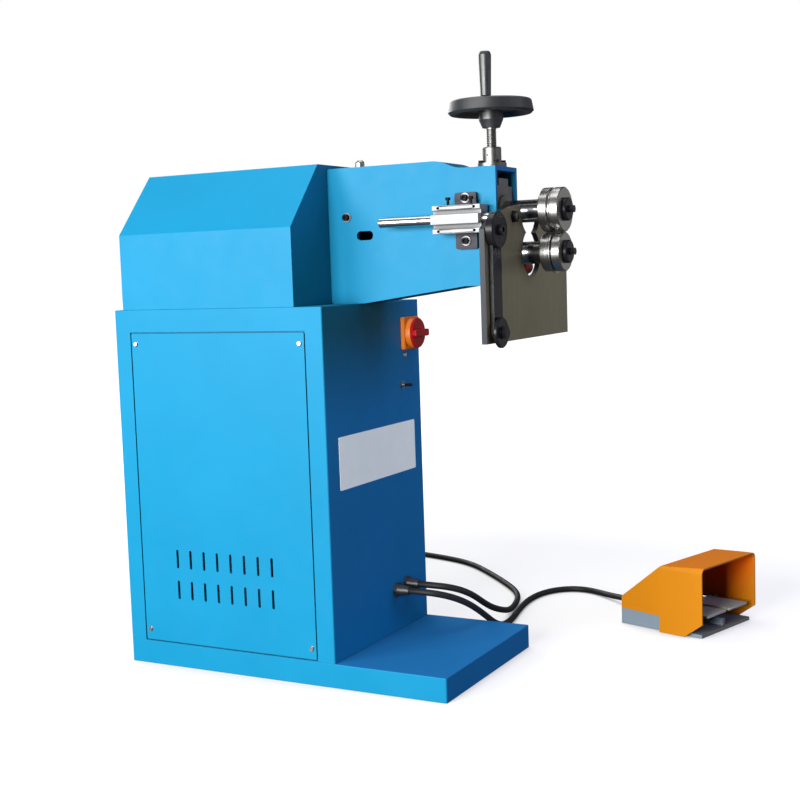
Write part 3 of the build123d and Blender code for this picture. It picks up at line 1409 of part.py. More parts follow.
def coil_heading(turns):
    """Direction of the coiled cable, level with the floor at both ends of a layer."""
    step = 0.001
    return (coil_place(turns + step) - coil_place(turns - step)).normalized()


def biarc(start, start_heading, end, end_heading):
    """Two arcs that leave start and reach end along the given headings."""
    gap = end - start
    both = start_heading + end_heading
    spread = 2 * (1 - start_heading.dot(end_heading))
    reach = (sqrt(gap.dot(both)**2 + spread * gap.dot(gap)) - gap.dot(both)) / spread
    joint = (start + start_heading * reach + end - end_heading * reach) / 2
    first = TangentArc(start, joint, tangent=start_heading)
    TangentArc(joint, end, tangent=first % 1)


# Coil of the mains cable behind the cabinet, in two layers
total_turns = 2 * coil_turns + climb_turns
coil_steps = round(4 * total_turns)
coil_stops = [total_turns * step / coil_steps for step in range(coil_steps + 1)]
coil_points = [coil_place(turns) for turns in coil_stops]
coil_headings = [coil_heading(turns) for turns in coil_stops]
coil_headings[0] = Vector(-1, 0, 0)
coil_headings[-1] = Vector(1, 0, 0)
coil_start = coil_points[0] - coil_headings[0] * straight_end
coil_end = coil_points[-1] + coil_headings[-1] * straight_end
with BuildPart() as mains_coil:
    with BuildLine() as coil_path:
        Line(coil_start, coil_points[0])
        for step in range(coil_steps):
            biarc(coil_points[step], coil_headings[step], coil_points[step + 1], coil_headings[step + 1])
        Line(coil_points[-1], coil_end)
    with BuildSketch(Plane(origin=coil_start, z_dir=coil_headings[0])):
        Circle(cable_radius)
    sweep()
fine_stops = [total_turns * step / coil_samples for step in range(coil_samples + 1)]
fine_points = [coil_place(turns) for turns in fine_stops]
apart = round(coil_samples / total_turns / 2)
least = min((fine_points[first] - fine_points[second]).length
            for first in range(coil_samples + 1) for second in range(first + apart, coil_samples + 1))
print("coil gap to itself", round(least - 2 * cable_radius, 2), "length", round(coil_path.wire().length),
      "volume share", round(mains_coil.part.volume / (pi * cable_radius**2 * coil_path.wire().length), 4))
mains_coil.part.label = "mains_coil"
export_step(mains_coil.part, "parts/mains_coil.step")

# Mains plug at the end of the coil, lying on the floor
plug_x = coil_end.X
plug_body = plug_x + plug_neck_length
plug_face = plug_body + plug_length
with BuildPart() as mains_plug:
    turned_on_x([(plug_x, 0), (plug_x, cable_radius + plug_boot_wall), (plug_body, plug_neck_radius),
                 (plug_body + plug_shoulder, plug_radius), (plug_face - roll_edge, plug_radius),
                 (plug_face, plug_radius - roll_edge), (plug_face, 0)], coil_end.Y, coil_end.Z)
    for side in (-1, 1):
        disc(across(plug_face, coil_end.Y + side * pin_circle, coil_end.Z), pin_radius, pin_length)
mains_plug.part.label = "mains_plug"
export_step(mains_plug.part, "parts/mains_plug.step")
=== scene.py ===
import math

import bmesh
import bpy
from mathutils import Matrix, Vector


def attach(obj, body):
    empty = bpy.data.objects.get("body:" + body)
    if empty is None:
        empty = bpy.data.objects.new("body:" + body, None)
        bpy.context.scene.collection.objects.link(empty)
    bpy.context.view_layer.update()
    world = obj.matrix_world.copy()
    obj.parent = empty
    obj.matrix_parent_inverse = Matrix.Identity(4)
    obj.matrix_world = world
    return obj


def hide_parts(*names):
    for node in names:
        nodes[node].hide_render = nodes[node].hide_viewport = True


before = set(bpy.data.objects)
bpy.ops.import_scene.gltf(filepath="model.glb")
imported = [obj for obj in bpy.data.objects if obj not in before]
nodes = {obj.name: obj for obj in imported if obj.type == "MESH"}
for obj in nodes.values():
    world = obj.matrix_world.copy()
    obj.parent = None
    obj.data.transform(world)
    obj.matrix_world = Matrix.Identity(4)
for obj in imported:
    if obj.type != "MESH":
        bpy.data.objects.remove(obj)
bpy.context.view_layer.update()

scene = bpy.context.scene
MM = 0.001
ROOT = "machine"

# Places on the machine, in metres
REAR_X = -0.350
LOWER_SHAFT = (0, 0, 0.783)
UPPER_SHAFT = (0, 0, 0.857)
PRESSING_SCREW = (0.380, 0, 0)
GUIDE_ROD = (0, -0.077, 0.846)


# Materials: node trees on a Principled shader, with noise given by its scale and detail

NOISE_ROUGHNESS = 0.55
NOISE_LOW, NOISE_HIGH = 0.3, 0.7
GAP_SAMPLES = 8
GAP_FADE = 0.37
FACING_FROM, FACING_FULL = 0.6, 0.9
MIX_FIRST, MIX_SECOND, MIX_RESULT = 6, 7, 2
BUMP_DISTANCE = 0.0002
SMOOTHER, ROUGHER = 0.05, 0.07


def shaded(colour, factor):
    return tuple(channel * factor for channel in colour)


class Paint:
    """A material with its Principled shader, and short ways to add nodes to it."""

    def __init__(self, name, colour, roughness, metallic=0.0):
        self.material = bpy.data.materials.new(name)
        self.material.use_nodes = True
        self.tree = self.material.node_tree
        self.shader = self.tree.nodes["Principled BSDF"]
        self.shader.inputs["Base Color"].default_value = (*colour, 1)
        self.shader.inputs["Roughness"].default_value = roughness
        self.shader.inputs["Metallic"].default_value = metallic
        coordinates = self.node("ShaderNodeTexCoord")
        self.coordinate = coordinates.outputs["Object"]
        self.normal = coordinates.outputs["Normal"]

    def node(self, kind, **settings):
        made = self.tree.nodes.new(kind)
        for key, value in settings.items():
            setattr(made, key, value)
        return made

    def link(self, source, target):
        self.tree.links.new(source, target)

    def stretched(self, scale):
        """The object's own coordinates, scaled along each axis."""
        mapping = self.node("ShaderNodeMapping")
        mapping.inputs["Scale"].default_value = scale
        self.link(self.coordinate, mapping.inputs["Vector"])
        return mapping.outputs["Vector"]

    def round_line(self, axis, centre, scale):
        """Coordinates that are the same all round a line: distance from it, and place along it."""
        shift = self.node("ShaderNodeVectorMath", operation="SUBTRACT")
        self.link(self.coordinate, shift.inputs[0])
        shift.inputs[1].default_value = centre
        parts = self.node("ShaderNodeSeparateXYZ")
        self.link(shift.outputs["Vector"], parts.inputs["Vector"])
        flat = self.node("ShaderNodeCombineXYZ")
        others = [letter for letter in "XYZ" if letter != axis]
        for place, letter in enumerate(others):
            self.link(parts.outputs[letter], flat.inputs[place])
        distance = self.node("ShaderNodeVectorMath", operation="LENGTH")
        self.link(flat.outputs["Vector"], distance.inputs[0])
        both = self.node("ShaderNodeCombineXYZ")
        for place, value in enumerate((distance.outputs["Value"], parts.outputs[axis])):
            times = self.node("ShaderNodeMath", operation="MULTIPLY")
            self.link(value, times.inputs[0])
            times.inputs[1].default_value = scale
            self.link(times.outputs["Value"], both.inputs[place])
        return both.outputs["Vector"]

    def noise(self, vector, scale, detail):
        made = self.node("ShaderNodeTexNoise")
        made.inputs["Scale"].default_value = scale
        made.inputs["Detail"].default_value = detail
        made.inputs["Roughness"].default_value = NOISE_ROUGHNESS
        self.link(vector, made.inputs["Vector"])
        return made.outputs["Fac"]

    def ranged(self, value, low, high, start=NOISE_LOW, end=NOISE_HIGH):
        """A value that goes from low to high while the given one goes from start to end."""
        made = self.node("ShaderNodeMapRange")
        made.inputs["From Min"].default_value = start
        made.inputs["From Max"].default_value = end
        made.inputs["To Min"].default_value = low
        made.inputs["To Max"].default_value = high
        self.link(value, made.inputs["Value"])
        return made.outputs["Result"]

    def tones(self, value, colour, low, high, start=NOISE_LOW, end=NOISE_HIGH):
        """The colour times a factor that goes from low to high."""
        made = self.node("ShaderNodeValToRGB")
        stops = ((start, low), (end, high))
        for element, (position, factor) in zip(made.color_ramp.elements, stops):
            element.position = position
            element.color = (*shaded(colour, factor), 1)
        self.link(value, made.inputs["Fac"])
        return made.outputs["Color"]

    def mixed(self, factor, first, second):
        """A colour between two, each a fixed colour or a socket."""
        made = self.node("ShaderNodeMix", data_type="RGBA")
        self.link(factor, made.inputs["Factor"])
        for place, colour in ((MIX_FIRST, first), (MIX_SECOND, second)):
            if isinstance(colour, tuple):
                made.inputs[place].default_value = (*colour, 1)
            else:
                self.link(colour, made.inputs[place])
        return made.outputs[MIX_RESULT]

    def painted_gap_shade(self, shade_colour, tone, reach, open_from, alone=False):
        """The tone, going over to a colour of painted shade in the gaps that ambient occlusion
        finds; alone counts the piece's own gaps only.
        """
        gap = self.node("ShaderNodeAmbientOcclusion", samples=GAP_SAMPLES, only_local=alone)
        gap.inputs["Distance"].default_value = reach
        openness = self.ranged(gap.outputs["AO"], 0.0, 1.0, open_from - GAP_FADE, open_from)
        return self.mixed(openness, shade_colour, tone)

    def facing(self, axis):
        """A value that is 1 on faces that lie across an axis, and 0 on the others."""
        parts = self.node("ShaderNodeSeparateXYZ")
        self.link(self.normal, parts.inputs["Vector"])
        size = self.node("ShaderNodeMath", operation="ABSOLUTE")
        self.link(parts.outputs[axis], size.inputs[0])
        return self.ranged(size.outputs["Value"], 0.0, 1.0, FACING_FROM, FACING_FULL)

    def gloss(self, level):
        self.shader.inputs["Specular IOR Level"].default_value = level

    def base(self, socket):
        self.link(socket, self.shader.inputs["Base Color"])

    def rough(self, socket):
        self.link(socket, self.shader.inputs["Roughness"])

    def bump(self, height, strength):
        made = self.node("ShaderNodeBump")
        made.inputs["Strength"].default_value = strength
        made.inputs["Distance"].default_value = BUMP_DISTANCE
        self.link(height, made.inputs["Height"])
        self.link(made.outputs["Normal"], self.shader.inputs["Normal"])


ENAMEL_CLOUDS, ENAMEL_SMEARS = (5.0, 4.0), (22.0, 5.0)
ENAMEL_TONES = (0.94, 1.04, 0.25, 0.75)
# Painted shade in gaps: this share of the paint's colour
ENAMEL_PAINTED_SHADE = 0.12
ORANGE_PEEL = 0.10
GRAIN_DETAIL = 2.0


def enamel(name, colour, roughness=0.42, grain=650, gloss=0.07, shade_colour=None, reach=0.007,
           open_from=0.62, top=None, front=None, alone=False):
    """Sprayed paint: slight clouds of tone, orange peel, dull level faces and painted shade in
    gaps.

    Level faces and front faces can take another colour by which way they face: painted light and
    shade.
    """
    paint = Paint(name, colour, roughness)
    clouds = paint.noise(paint.coordinate, *ENAMEL_CLOUDS)
    tone = paint.tones(clouds, colour, *ENAMEL_TONES)
    # Painted light and shade: level and front faces take another colour by which way they face
    for axis, own in (("Z", top), ("X", front)):
        if own:
            tone = paint.mixed(paint.facing(axis), tone, own)
    # Painted shade: gaps that ambient occlusion finds go over to a dark colour
    shade_colour = shade_colour or shaded(colour, ENAMEL_PAINTED_SHADE)
    paint.base(paint.painted_gap_shade(shade_colour, tone, reach, open_from, alone))
    smears = paint.noise(paint.coordinate, *ENAMEL_SMEARS)
    duller = paint.node("ShaderNodeMath", operation="MAXIMUM")
    paint.link(paint.ranged(smears, roughness - SMOOTHER, roughness + ROUGHER), duller.inputs[0])
    paint.link(paint.facing("Z"), duller.inputs[1])
    paint.rough(duller.outputs["Value"])
    paint.bump(paint.noise(paint.coordinate, grain, GRAIN_DETAIL), ORANGE_PEEL)
    paint.gloss(gloss)
    return paint.material


RINGS_PER_METRE = 90.0
RING_NOISE = (1.0, 1.0)
RING_TONES = (0.96, 1.0)
RING_ROUGHNESS = 0.01


def turned(name, colour, roughness, axis, centre):
    """Metal turned on a lathe: rings round its axis."""
    paint = Paint(name, colour, roughness, 1.0)
    rings = paint.noise(paint.round_line(axis, centre, RINGS_PER_METRE), *RING_NOISE)
    paint.base(paint.tones(rings, colour, *RING_TONES))
    paint.rough(paint.ranged(rings, roughness - RING_ROUGHNESS, roughness + RING_ROUGHNESS))
    return paint.material


METAL_GRAIN, METAL_CLOUDS = (1.0, 3.0), (14.0, 3.0)
METAL_TONES = (0.92, 1.05)
# Reach and threshold of the painted shade in the gaps of metals
METAL_GAP_REACH, METAL_OPEN_FROM = 0.02, 0.85


def brushed(name, colour, roughness, scale, metallic=1.0, strength=0.0, shade_colour=None, side_shade=None,
            gloss=0.5):
    """Metal with grain: noise scaled along each axis, and so drawn out along one if need be.

    Gaps can take a colour of painted shade, and all faces but those across the X axis another
    colour, which paints shade on the sides.
    """
    paint = Paint(name, colour, roughness, metallic)
    grain = paint.noise(paint.stretched(scale), *METAL_GRAIN)
    clouds = paint.noise(paint.coordinate, *METAL_CLOUDS)
    tone = paint.tones(clouds, colour, *METAL_TONES)
    # Painted shade in gaps found by ambient occlusion
    if shade_colour:
        tone = paint.painted_gap_shade(shade_colour, tone, METAL_GAP_REACH, METAL_OPEN_FROM)
    # Painted shade on all faces but those across the X axis
    if side_shade:
        tone = paint.mixed(paint.facing("X"), side_shade, tone)
    paint.base(tone)
    paint.gloss(gloss)
    paint.rough(paint.ranged(grain, roughness - SMOOTHER, roughness + ROUGHER))
    if strength:
        paint.bump(grain, strength)
    return paint.material


MOULDED_CLOUDS = (30.0, 4.0)
MOULDED_ROUGHER = 0.08


def moulded(name, colour, roughness, grain=1800, strength=0.15, worn=0.13, gloss=0.5):
    """Moulded plastic or rubber: fine texture and slightly worn tone."""
    paint = Paint(name, colour, roughness)
    clouds = paint.noise(paint.coordinate, *MOULDED_CLOUDS)
    paint.base(paint.tones(clouds, colour, 1 - worn, 1 + worn))
    paint.rough(paint.ranged(clouds, roughness - SMOOTHER, roughness + MOULDED_ROUGHER))
    paint.bump(paint.noise(paint.coordinate, grain, GRAIN_DETAIL), strength)
    paint.gloss(gloss)
    return paint.material


# Enamels
BLUE = (0.0032, 0.114, 0.212)
blue_paint = enamel("blue_paint", BLUE)
# Painted reflection: the platform's level top takes a darker, more violet blue than the rest of the
# paint
platform_paint = enamel("platform_blue", BLUE, top=(0.0048, 0.088, 0.230))
# Painted light and shade on the hood: its level faces a lighter orange, and its hollow a dark
# red-brown where its own walls occlude it
hood_paint = enamel("hood_orange", (0.300, 0.108, 0.0035), shade_colour=(0.85, 0.06, 0.002), reach=0.30,
                    open_from=0.65, top=(0.370, 0.106, 0.0055), alone=True)
# Painted shade: the pedal base's level and front faces take darker, greyer tones than its sides
pedal_paint = enamel("pedal_blue_grey", (0.110, 0.138, 0.168), 0.45, top=(0.085, 0.085, 0.080),
                     front=(0.097, 0.096, 0.062))
motor_paint = enamel("motor_paint", (0.060, 0.080, 0.100), 0.45)
treadle_paint = enamel("treadle_grey", (0.21, 0.205, 0.155), 0.36, gloss=0.30, grain=900)

# Turned metals
STEEL, STEEL_ROUGHNESS = (0.37, 0.366, 0.357), 0.27
DARK_STEEL, DARK_ROUGHNESS = (0.20, 0.202, 0.205), 0.22
lower_turned = turned("lower_turned_steel", STEEL, STEEL_ROUGHNESS, "X", LOWER_SHAFT)
upper_turned = turned("upper_turned_steel", STEEL, STEEL_ROUGHNESS, "X", UPPER_SHAFT)
lower_dark = turned("lower_dark_steel", DARK_STEEL, DARK_ROUGHNESS, "X", LOWER_SHAFT)
upper_dark = turned("upper_dark_steel", DARK_STEEL, DARK_ROUGHNESS, "X", UPPER_SHAFT)
screw_turned = turned("screw_turned_steel", (0.115, 0.114, 0.111), 0.42, "Z", PRESSING_SCREW)
rod_steel = turned("rod_steel", (0.50, 0.495, 0.49), 0.24, "X", GUIDE_ROD)

# Other metals, with their grain along each axis
COARSE, EVEN, FINE = (40, 40, 40), (60, 60, 60), (80, 80, 80)
ALONG_X, ALONG_Z = (6, 150, 150), (150, 150, 5)
plain_steel = brushed("plain_steel", (0.26, 0.26, 0.26), 0.36, EVEN)
washer_steel = brushed("washer_steel", (0.10, 0.10, 0.10), 0.42, EVEN)
zinc = brushed("screw_zinc", (0.45, 0.45, 0.44), 0.32, EVEN)
# Painted shade: the block's recesses go near black where ambient occlusion finds them
block_metal = brushed("block_aluminium", (0.160, 0.163, 0.167), 0.50, ALONG_X, 0.2,
                      shade_colour=(0.018, 0.0185, 0.0195))
# Painted shade: all faces of the gauge plate but those across X are coloured near black
gauge_metal = brushed("gauge_steel", (0.178, 0.160, 0.086), 0.38, ALONG_Z, 0.70,
                      side_shade=(0.010, 0.0115, 0.013), gloss=0.15)
mount_metal = brushed("mount_steel", (0.020, 0.0195, 0.025), 0.45, EVEN, 0.2, gloss=0.08)
black_metal = brushed("black_steel", (0.006, 0.006, 0.0070), 0.25, COARSE, 0.0, gloss=0.16)
bolt_black = brushed("black_bolts", (0.006, 0.006, 0.0075), 0.45, COARSE, 0.0, gloss=0.025)
iron = brushed("grey_iron", (0.120, 0.115, 0.098), 0.50, FINE, 0.7, strength=0.03)
bronze = brushed("bronze", (0.45, 0.30, 0.14), 0.32, FINE)

# Plastic and rubber
black_plastic = moulded("black_plastic", (0.0085, 0.009, 0.010), 0.40)
cable_rubber = moulded("cable_black", (0.0085, 0.0085, 0.0090), 0.50, 900, 0.05, gloss=0.15)
switch_orange = moulded("orange_plastic", (0.47, 0.112, 0.004), 0.42, 2200, 0.02, 0.04, 0.3)
switch_red = moulded("red_plastic", (0.26, 0.002, 0.004), 0.36, 2200, 0.02, 0.05, 0.15)
plate_white = moulded("plate_white", (0.72, 0.78, 0.55), 0.45, 1500, 0.01, 0.02)

finishes = [
    (blue_paint, ["cabinet_shell", "access_door", "rear_cover", "arm_left_plate",
                  "arm_right_plate", "arm_top_plate", "arm_bottom_plate"]),
    (platform_paint, ["base_platform"]),
    (lower_turned, ["lower_rolls"]),
    (upper_turned, ["upper_rolls"]),
    (lower_dark, ["lower_shaft"]),
    (upper_dark, ["upper_shaft"]),
    (screw_turned, ["adjusting_screw", "screw_nut"]),
    (rod_steel, ["guide_rod"]),
    (washer_steel, ["side_washers"]),
    (plain_steel, ["pedal_pin", "handle_bolt", "toggle_body", "oil_cup"]),
    (zinc, ["panel_screws"]),
    (block_metal, ["bearing_block"]),
    (gauge_metal, ["gauge_plate"]),
    (mount_metal, ["gauge_mount_plate"]),
    (bolt_black, ["side_bolts", "cap_screws"]),
    (black_metal, ["lower_roll_bolt", "upper_roll_bolt", "swing_link", "link_pivot_screw",
                   "guide_roller", "roller_bolt", "rod_nut", "toggle_lever"]),
    (iron, ["lower_bearings", "upper_carrier", "lower_gear", "upper_gear", "shaft_sprocket",
            "motor_sprocket", "drive_chain", "screw_keeper", "upper_bushes"]),
    (bronze, ["thrust_pad"]),
    (motor_paint, ["gear_motor"]),
    (black_plastic, ["handwheel", "wheel_handle", "cable_glands", "mains_plug"]),
    (switch_orange, ["switch_plate"]),
    (switch_red, ["switch_knob", "red_cap"]),
    (plate_white, ["name_plate"]),
    (hood_paint, ["pedal_hood"]),
    (pedal_paint, ["pedal_base"]),
    (treadle_paint, ["left_pedal", "right_pedal"]),
]
for finish, names in finishes:
    for name in names:
        mesh = nodes[name].data
        mesh.materials.clear()
        mesh.materials.append(finish)

# Slightly broken edges on pieces that are cut or moulded
EDGE_WIDTH = 0.0007
EDGE_SEGMENTS = 2
EDGE_ANGLE = math.radians(30.0)
WELD_WITHIN = 0.00002
for name in ["bearing_block", "gauge_mount_plate", "switch_plate", "left_pedal", "right_pedal"]:
    weld = nodes[name].modifiers.new("weld", "WELD")
    weld.merge_threshold = WELD_WITHIN
    bevel = nodes[name].modifiers.new("edges", "BEVEL")
    bevel.width = EDGE_WIDTH
    bevel.segments = EDGE_SEGMENTS
    bevel.limit_method = "ANGLE"
    bevel.angle_limit = EDGE_ANGLE
    bevel.harden_normals = True


# Cords: the routes in millimetres, along from the cabinet's rear, across and up

CABLE_RADIUS = 0.0065
LIE = 6.7


def cord_curve(name, points, radius):
    """A round cord on one smooth spline along its route."""
    curve = bpy.data.curves.new(name, "CURVE")
    curve.dimensions = "3D"
    curve.bevel_depth = radius
    curve.bevel_resolution = 5
    curve.resolution_u = 10
    curve.use_fill_caps = True
    spline = curve.splines.new("NURBS")
    spline.points.add(len(points) - 1)
    for target, point in zip(spline.points, points):
        target.co = (*point, 1)
    spline.order_u = 3
    spline.use_endpoint_u = True
    made = bpy.data.objects.new(name, curve)
    scene.collection.objects.link(made)
    curve.materials.append(cable_rubber)
    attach(made, ROOT)
    return made


def from_rear(points):
    """Route points in metres, from millimetres along, across and up."""
    return [Vector((REAR_X + along * MM, across * MM, up * MM)) for along, across, up in points]


pedal_points = from_rear([
    (503, 56, 128), (531, 56, 128), (560, 66, 124.5), (583, 91, 113), (596, 126, 94.5),
    (602, 162, 72.5), (604, 197, 50.5), (604.5, 233, 28.5), (603.5, 272, 13), (600, 314, 8),
    (592.5, 357, LIE), (583, 401, LIE), (574, 446, LIE), (567.5, 491, LIE), (566, 536, LIE),
    (572, 579, LIE), (590, 616, LIE), (620, 640, LIE), (656, 643, LIE), (692, 628, LIE),
    (725, 603.5, 9), (757, 577, 13.5), (791.58, 549.02, 18), (818.35, 540.83, 18)])
pedal_cable = cord_curve("pedal_cord", pedal_points, CABLE_RADIUS)
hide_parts("pedal_cable")

mains_points = from_rear([
    (503, 98, 132), (531, 98, 132), (560, 108, 129), (582, 130, 119), (593.5, 161, 101.5),
    (597, 197, 79.5), (597, 236, 60), (594.5, 277, 45), (588, 319, 32), (578, 362, 20.5),
    (566, 406, 11), (555, 451, LIE), (543, 496, LIE), (526, 540, LIE), (500, 582, LIE),
    (466, 623, LIE), (428, 664, LIE), (388, 705, LIE), (346, 746, LIE), (303, 784, LIE),
    (256, 813, LIE), (207, 832, LIE), (157, 847, LIE), (110, 858, LIE), (71, 864.5, LIE),
    (33, 864.5, LIE)])
COIL_X, COIL_Y = 20.0, 782.5
COIL_TURNS, CLIMB_TURNS = 1.5, 0.5
COIL_INNER, COIL_PITCH, COIL_LAYER = 58.0, 16.0, 13.8
POINTS_PER_TURN = 14
PLUG_LEAD = 13


def coil_place(turns):
    """Place of the coiled cable after so many turns: in on the floor, up a layer, out on top."""
    climb_end = COIL_TURNS + CLIMB_TURNS
    if turns < COIL_TURNS:
        radius, up = COIL_INNER + COIL_PITCH * (COIL_TURNS - turns), LIE
    elif turns < climb_end:
        climbed = (1 - math.cos(math.pi * (turns - COIL_TURNS) / CLIMB_TURNS)) / 2
        radius, up = COIL_INNER, LIE + COIL_LAYER * climbed
    else:
        radius, up = COIL_INNER + COIL_PITCH * (turns - climb_end), LIE + COIL_LAYER
    angle = math.pi / 2 + 2 * math.pi * turns
    return COIL_X + radius * math.cos(angle), COIL_Y + radius * math.sin(angle), up


total_turns = 2 * COIL_TURNS + CLIMB_TURNS
coil_count = round(POINTS_PER_TURN * total_turns)
coil_points = [coil_place(total_turns * step / coil_count) for step in range(coil_count + 1)]
last_along, last_across, last_up = coil_points[-1]
mains_points += from_rear(coil_points + [(last_along + PLUG_LEAD, last_across, last_up)])
mains_cable = cord_curve("mains_cord", mains_points, CABLE_RADIUS)
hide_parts("mains_cable", "mains_coil")


# Tie round the coil: a flat strap over the three strands on one side of the coil

TIE_AT = 0.75
TIE_STRANDS = 3
TIE_WIDTH, TIE_SPACE, TIE_THICK = 12.0, 0.7, 1.0
TIE_LOWEST_INSIDE, TIE_LOWEST_OUTSIDE = 0.13, 0.03
CIRCLE_STEPS = 40
LOOP_POINTS = 72
LEAST_LENGTH = 1e-9
strands = [coil_place(turns + TIE_AT) for turns in range(TIE_STRANDS)]


def turns_left(first, second, third):
    """Whether the way through three flat points turns left."""
    return ((second[0] - first[0]) * (third[1] - first[1])
            > (second[1] - first[1]) * (third[0] - first[0]))


def hull_outline(points):
    """Outer points of a flat set of points, in order round it."""
    points = sorted(points)
    halves = []
    for ordered in (points, points[::-1]):
        chain = []
        for point in ordered:
            while len(chain) > 1 and not turns_left(chain[-2], chain[-1], point):
                chain.pop()
            chain.append(point)
        halves += chain[:-1]
    return halves


def tie_loop(space, lowest):
    """Outline of the strap, with so much space round the strands and nothing below the lowest."""
    reach = CABLE_RADIUS / MM + space
    points = []
    for along, across, height in strands:
        for step in range(CIRCLE_STEPS):
            turn = 2 * math.pi * step / CIRCLE_STEPS
            points.append((round(along + reach * math.cos(turn), 4),
                           round(max(height + reach * math.sin(turn), lowest), 4)))
    return hull_outline(points)


def even_loop(loop):
    """The outline with evenly spread points, starting at its far right."""
    start = max(range(len(loop)), key=lambda place: loop[place][0])
    ring = [Vector(point) for point in loop[start:] + loop[:start + 1]]
    lengths = [0.0]
    for first, second in zip(ring, ring[1:]):
        lengths.append(lengths[-1] + (second - first).length)
    spread = []
    for step in range(LOOP_POINTS):
        goal = lengths[-1] * step / LOOP_POINTS
        place = next(index for index in range(1, len(ring)) if lengths[index] >= goal)
        between = max(lengths[place] - lengths[place - 1], LEAST_LENGTH)
        share = (goal - lengths[place - 1]) / between
        spread.append(ring[place - 1].lerp(ring[place], share))
    return spread


inner_loop = even_loop(tie_loop(TIE_SPACE, TIE_LOWEST_INSIDE))
outer_loop = even_loop(tie_loop(TIE_SPACE + TIE_THICK, TIE_LOWEST_OUTSIDE))
corners = ((inner_loop, -0.5), (inner_loop, 0.5), (outer_loop, 0.5), (outer_loop, -0.5))
tie_points, tie_faces = [], []
for corner, (loop, aside) in enumerate(corners):
    across = COIL_Y + aside * TIE_WIDTH
    tie_points += from_rear([(along, across, height) for along, height in loop])
    here, there = corner * LOOP_POINTS, (corner + 1) % len(corners) * LOOP_POINTS
    for step in range(LOOP_POINTS):
        following = (step + 1) % LOOP_POINTS
        tie_faces.append((here + step, here + following, there + following, there + step))
tie_mesh = bpy.data.meshes.new("coil_tie")
tie_mesh.from_pydata(tie_points, [], tie_faces)
tie_mesh.materials.append(black_plastic)
coil_tie = bpy.data.objects.new("coil_tie", tie_mesh)
scene.collection.objects.link(coil_tie)
outside = bmesh.new()
outside.from_mesh(tie_mesh)
bmesh.ops.recalc_face_normals(outside, faces=outside.faces)
outside.to_mesh(tie_mesh)
outside.free()
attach(coil_tie, ROOT)


# Floor: pale, glowing more with distance from the machine, and less where ambient occlusion finds
# the machine close by: a painted contact shadow

WHITE = (1, 1, 1)
FLOOR_HALF, FLOOR_Z = 30.0, -0.0004
FLOOR_MIDDLE = (0.1, 0.2, 0)
FLOOR_GREY = 0.27
FLOOR_TONES = (0.265, 0.275, 0.2, 0.8)
FLOOR_CLOUDS = (1.5, 2.0)
FLOOR_ROUGHNESS = 0.9
GLOW_RANGE = (0.60, 1.1, 0.9, 2.6)
CONTACT_REACH, CONTACT_SAMPLES = 0.12, 16
CONTACT_RANGE = (0.25, 1.0, 0.15, 0.7)

floor_mesh = bpy.data.meshes.new("floor")
floor_corners = [(x * FLOOR_HALF, y * FLOOR_HALF, FLOOR_Z)
                 for x, y in ((-1, -1), (1, -1), (1, 1), (-1, 1))]
floor_mesh.from_pydata(floor_corners, [], [(0, 1, 2, 3)])
floor = bpy.data.objects.new("floor", floor_mesh)
scene.collection.objects.link(floor)
floor_paint = Paint("floor_pale", shaded(WHITE, FLOOR_GREY), FLOOR_ROUGHNESS)
floor_tone = floor_paint.noise(floor_paint.coordinate, *FLOOR_CLOUDS)
floor_paint.base(floor_paint.tones(floor_tone, WHITE, *FLOOR_TONES))
away = floor_paint.node("ShaderNodeVectorMath", operation="DISTANCE")
floor_paint.link(floor_paint.coordinate, away.inputs[0])
away.inputs[1].default_value = FLOOR_MIDDLE
# Painted contact shadow: the glow is cut where the machine is close by
painted_contact_shadow = floor_paint.node("ShaderNodeAmbientOcclusion", samples=CONTACT_SAMPLES)
painted_contact_shadow.inputs["Distance"].default_value = CONTACT_REACH
glow = floor_paint.node("ShaderNodeMath", operation="MULTIPLY")
floor_paint.link(floor_paint.ranged(away.outputs["Value"], *GLOW_RANGE), glow.inputs[0])
floor_paint.link(floor_paint.ranged(painted_contact_shadow.outputs["AO"], *CONTACT_RANGE), glow.inputs[1])
floor_paint.link(glow.outputs["Value"], floor_paint.shader.inputs["Emission Strength"])
floor_paint.shader.inputs["Emission Color"].default_value = (*WHITE, 1)
floor_paint.gloss(0.0)
floor_mesh.materials.append(floor_paint.material)
floor.visible_diffuse = False
floor.visible_glossy = False


# Light: a white backdrop that lights the room only a little, and area lights in watts

BACKDROP_SEEN, ROOM_GLOW = 1.0, 0.10
world = bpy.data.worlds.new("studio")
scene.world = world
world.use_nodes = True
backdrop = world.node_tree.nodes["Background"]
backdrop.inputs["Color"].default_value = (*WHITE, 1)
seen = world.node_tree.nodes.new("ShaderNodeLightPath")
strength = world.node_tree.nodes.new("ShaderNodeMapRange")
strength.inputs["To Min"].default_value = ROOM_GLOW
strength.inputs["To Max"].default_value = BACKDROP_SEEN
world.node_tree.links.new(seen.outputs["Is Camera Ray"], strength.inputs["Value"])
world.node_tree.links.new(strength.outputs["Result"], backdrop.inputs["Strength"])


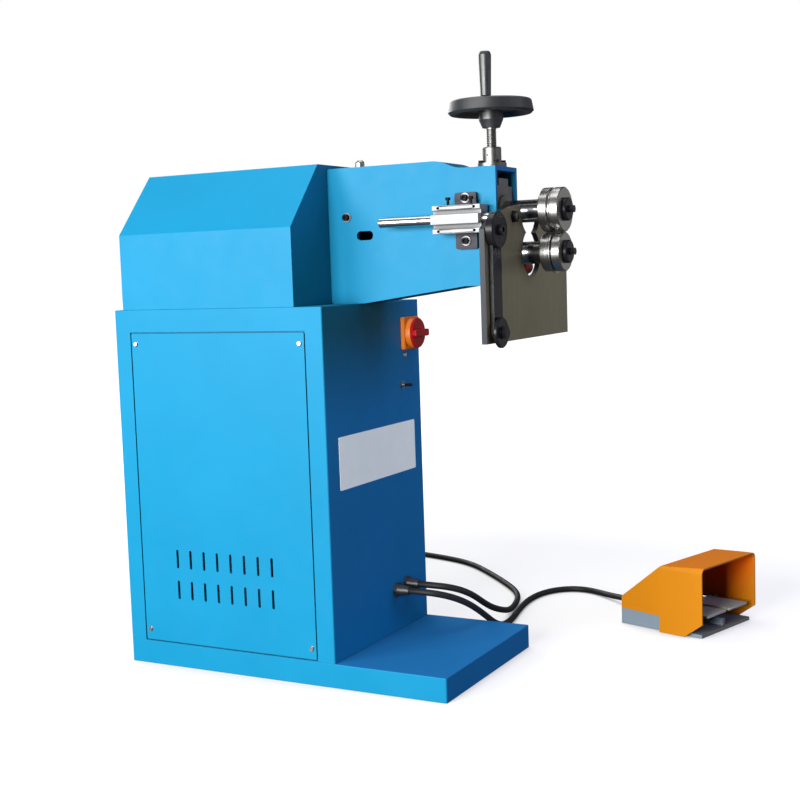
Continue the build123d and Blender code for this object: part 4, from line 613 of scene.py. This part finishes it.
def area_light(name, place, target, size, watts, colour=WHITE, diffuse=True, glossy=True):
    """A rectangular light at a place, aimed at a target."""
    light = bpy.data.lights.new(name, "AREA")
    light.shape = "RECTANGLE"
    light.size, light.size_y = size
    light.energy = watts
    light.color = colour
    made = bpy.data.objects.new(name, light)
    made.location = place
    aim = Vector(target) - Vector(place)
    made.rotation_euler = aim.to_track_quat("-Z", "Y").to_euler()
    made.visible_diffuse = diffuse
    made.visible_glossy = glossy
    scene.collection.objects.link(made)


DOOR, MIDDLE = (0.05, 0.0, 0.62), (0.1, 0.1, 0.5)
FRONT_PLACE = (4.2, 0.9, 1.3)
COOL = (0.75, 0.80, 1.8)
area_light("key", (0.15, -3.4, 0.95), DOOR, (1.3, 1.6), 310)
area_light("left", (-1.7, -3.2, 1.25), DOOR, (1.7, 1.2), 180)
area_light("top", (0.2, 0.2, 3.4), (0.1, 0.1, 0.0), (3.0, 3.0), 90)
area_light("front", FRONT_PLACE, MIDDLE, (2.0, 2.0), 82, COOL, glossy=False)
area_light("sheen", FRONT_PLACE, MIDDLE, (2.6, 2.6), 95, diffuse=False)
area_light("wall", (1.9, 3.4, 1.0), (0.5, 0.0, 0.8), (2.5, 2.0), 4, diffuse=False)
area_light("back", (-3.2, 2.6, 2.4), (0.0, 0.1, 0.5), (3.6, 3.2), 135)


# Camera: place, aim and focal length as fitted to the photo's frame

FOCAL_PIXELS, FRAME_PIXELS, SENSOR_WIDTH = 1318.57, 800, 36.0
CAMERA_PLACE = Vector((1.3597, -2.2010, 0.7620))
AZIMUTH, ELEVATION, ROLL = math.radians(28.28), math.radians(5.67), math.radians(-1.93)

camera = bpy.data.cameras.new("camera")
camera.sensor_fit = "HORIZONTAL"
camera.sensor_width = SENSOR_WIDTH
camera.lens = FOCAL_PIXELS / FRAME_PIXELS * SENSOR_WIDTH
camera.clip_end = 100.0
viewer = bpy.data.objects.new("camera", camera)
scene.collection.objects.link(viewer)
forward = Vector((-math.sin(AZIMUTH) * math.cos(ELEVATION),
                  math.cos(AZIMUTH) * math.cos(ELEVATION), -math.sin(ELEVATION)))
level_right = forward.cross(Vector((0, 0, 1))).normalized()
level_up = level_right.cross(forward)
right = level_right * math.cos(ROLL) + level_up * math.sin(ROLL)
axes = Matrix((right, right.cross(forward), -forward)).transposed()
viewer.matrix_world = Matrix.Translation(CAMERA_PLACE) @ axes.to_4x4()
bpy.context.scene.camera = viewer
scene.view_settings.view_transform = "Standard"
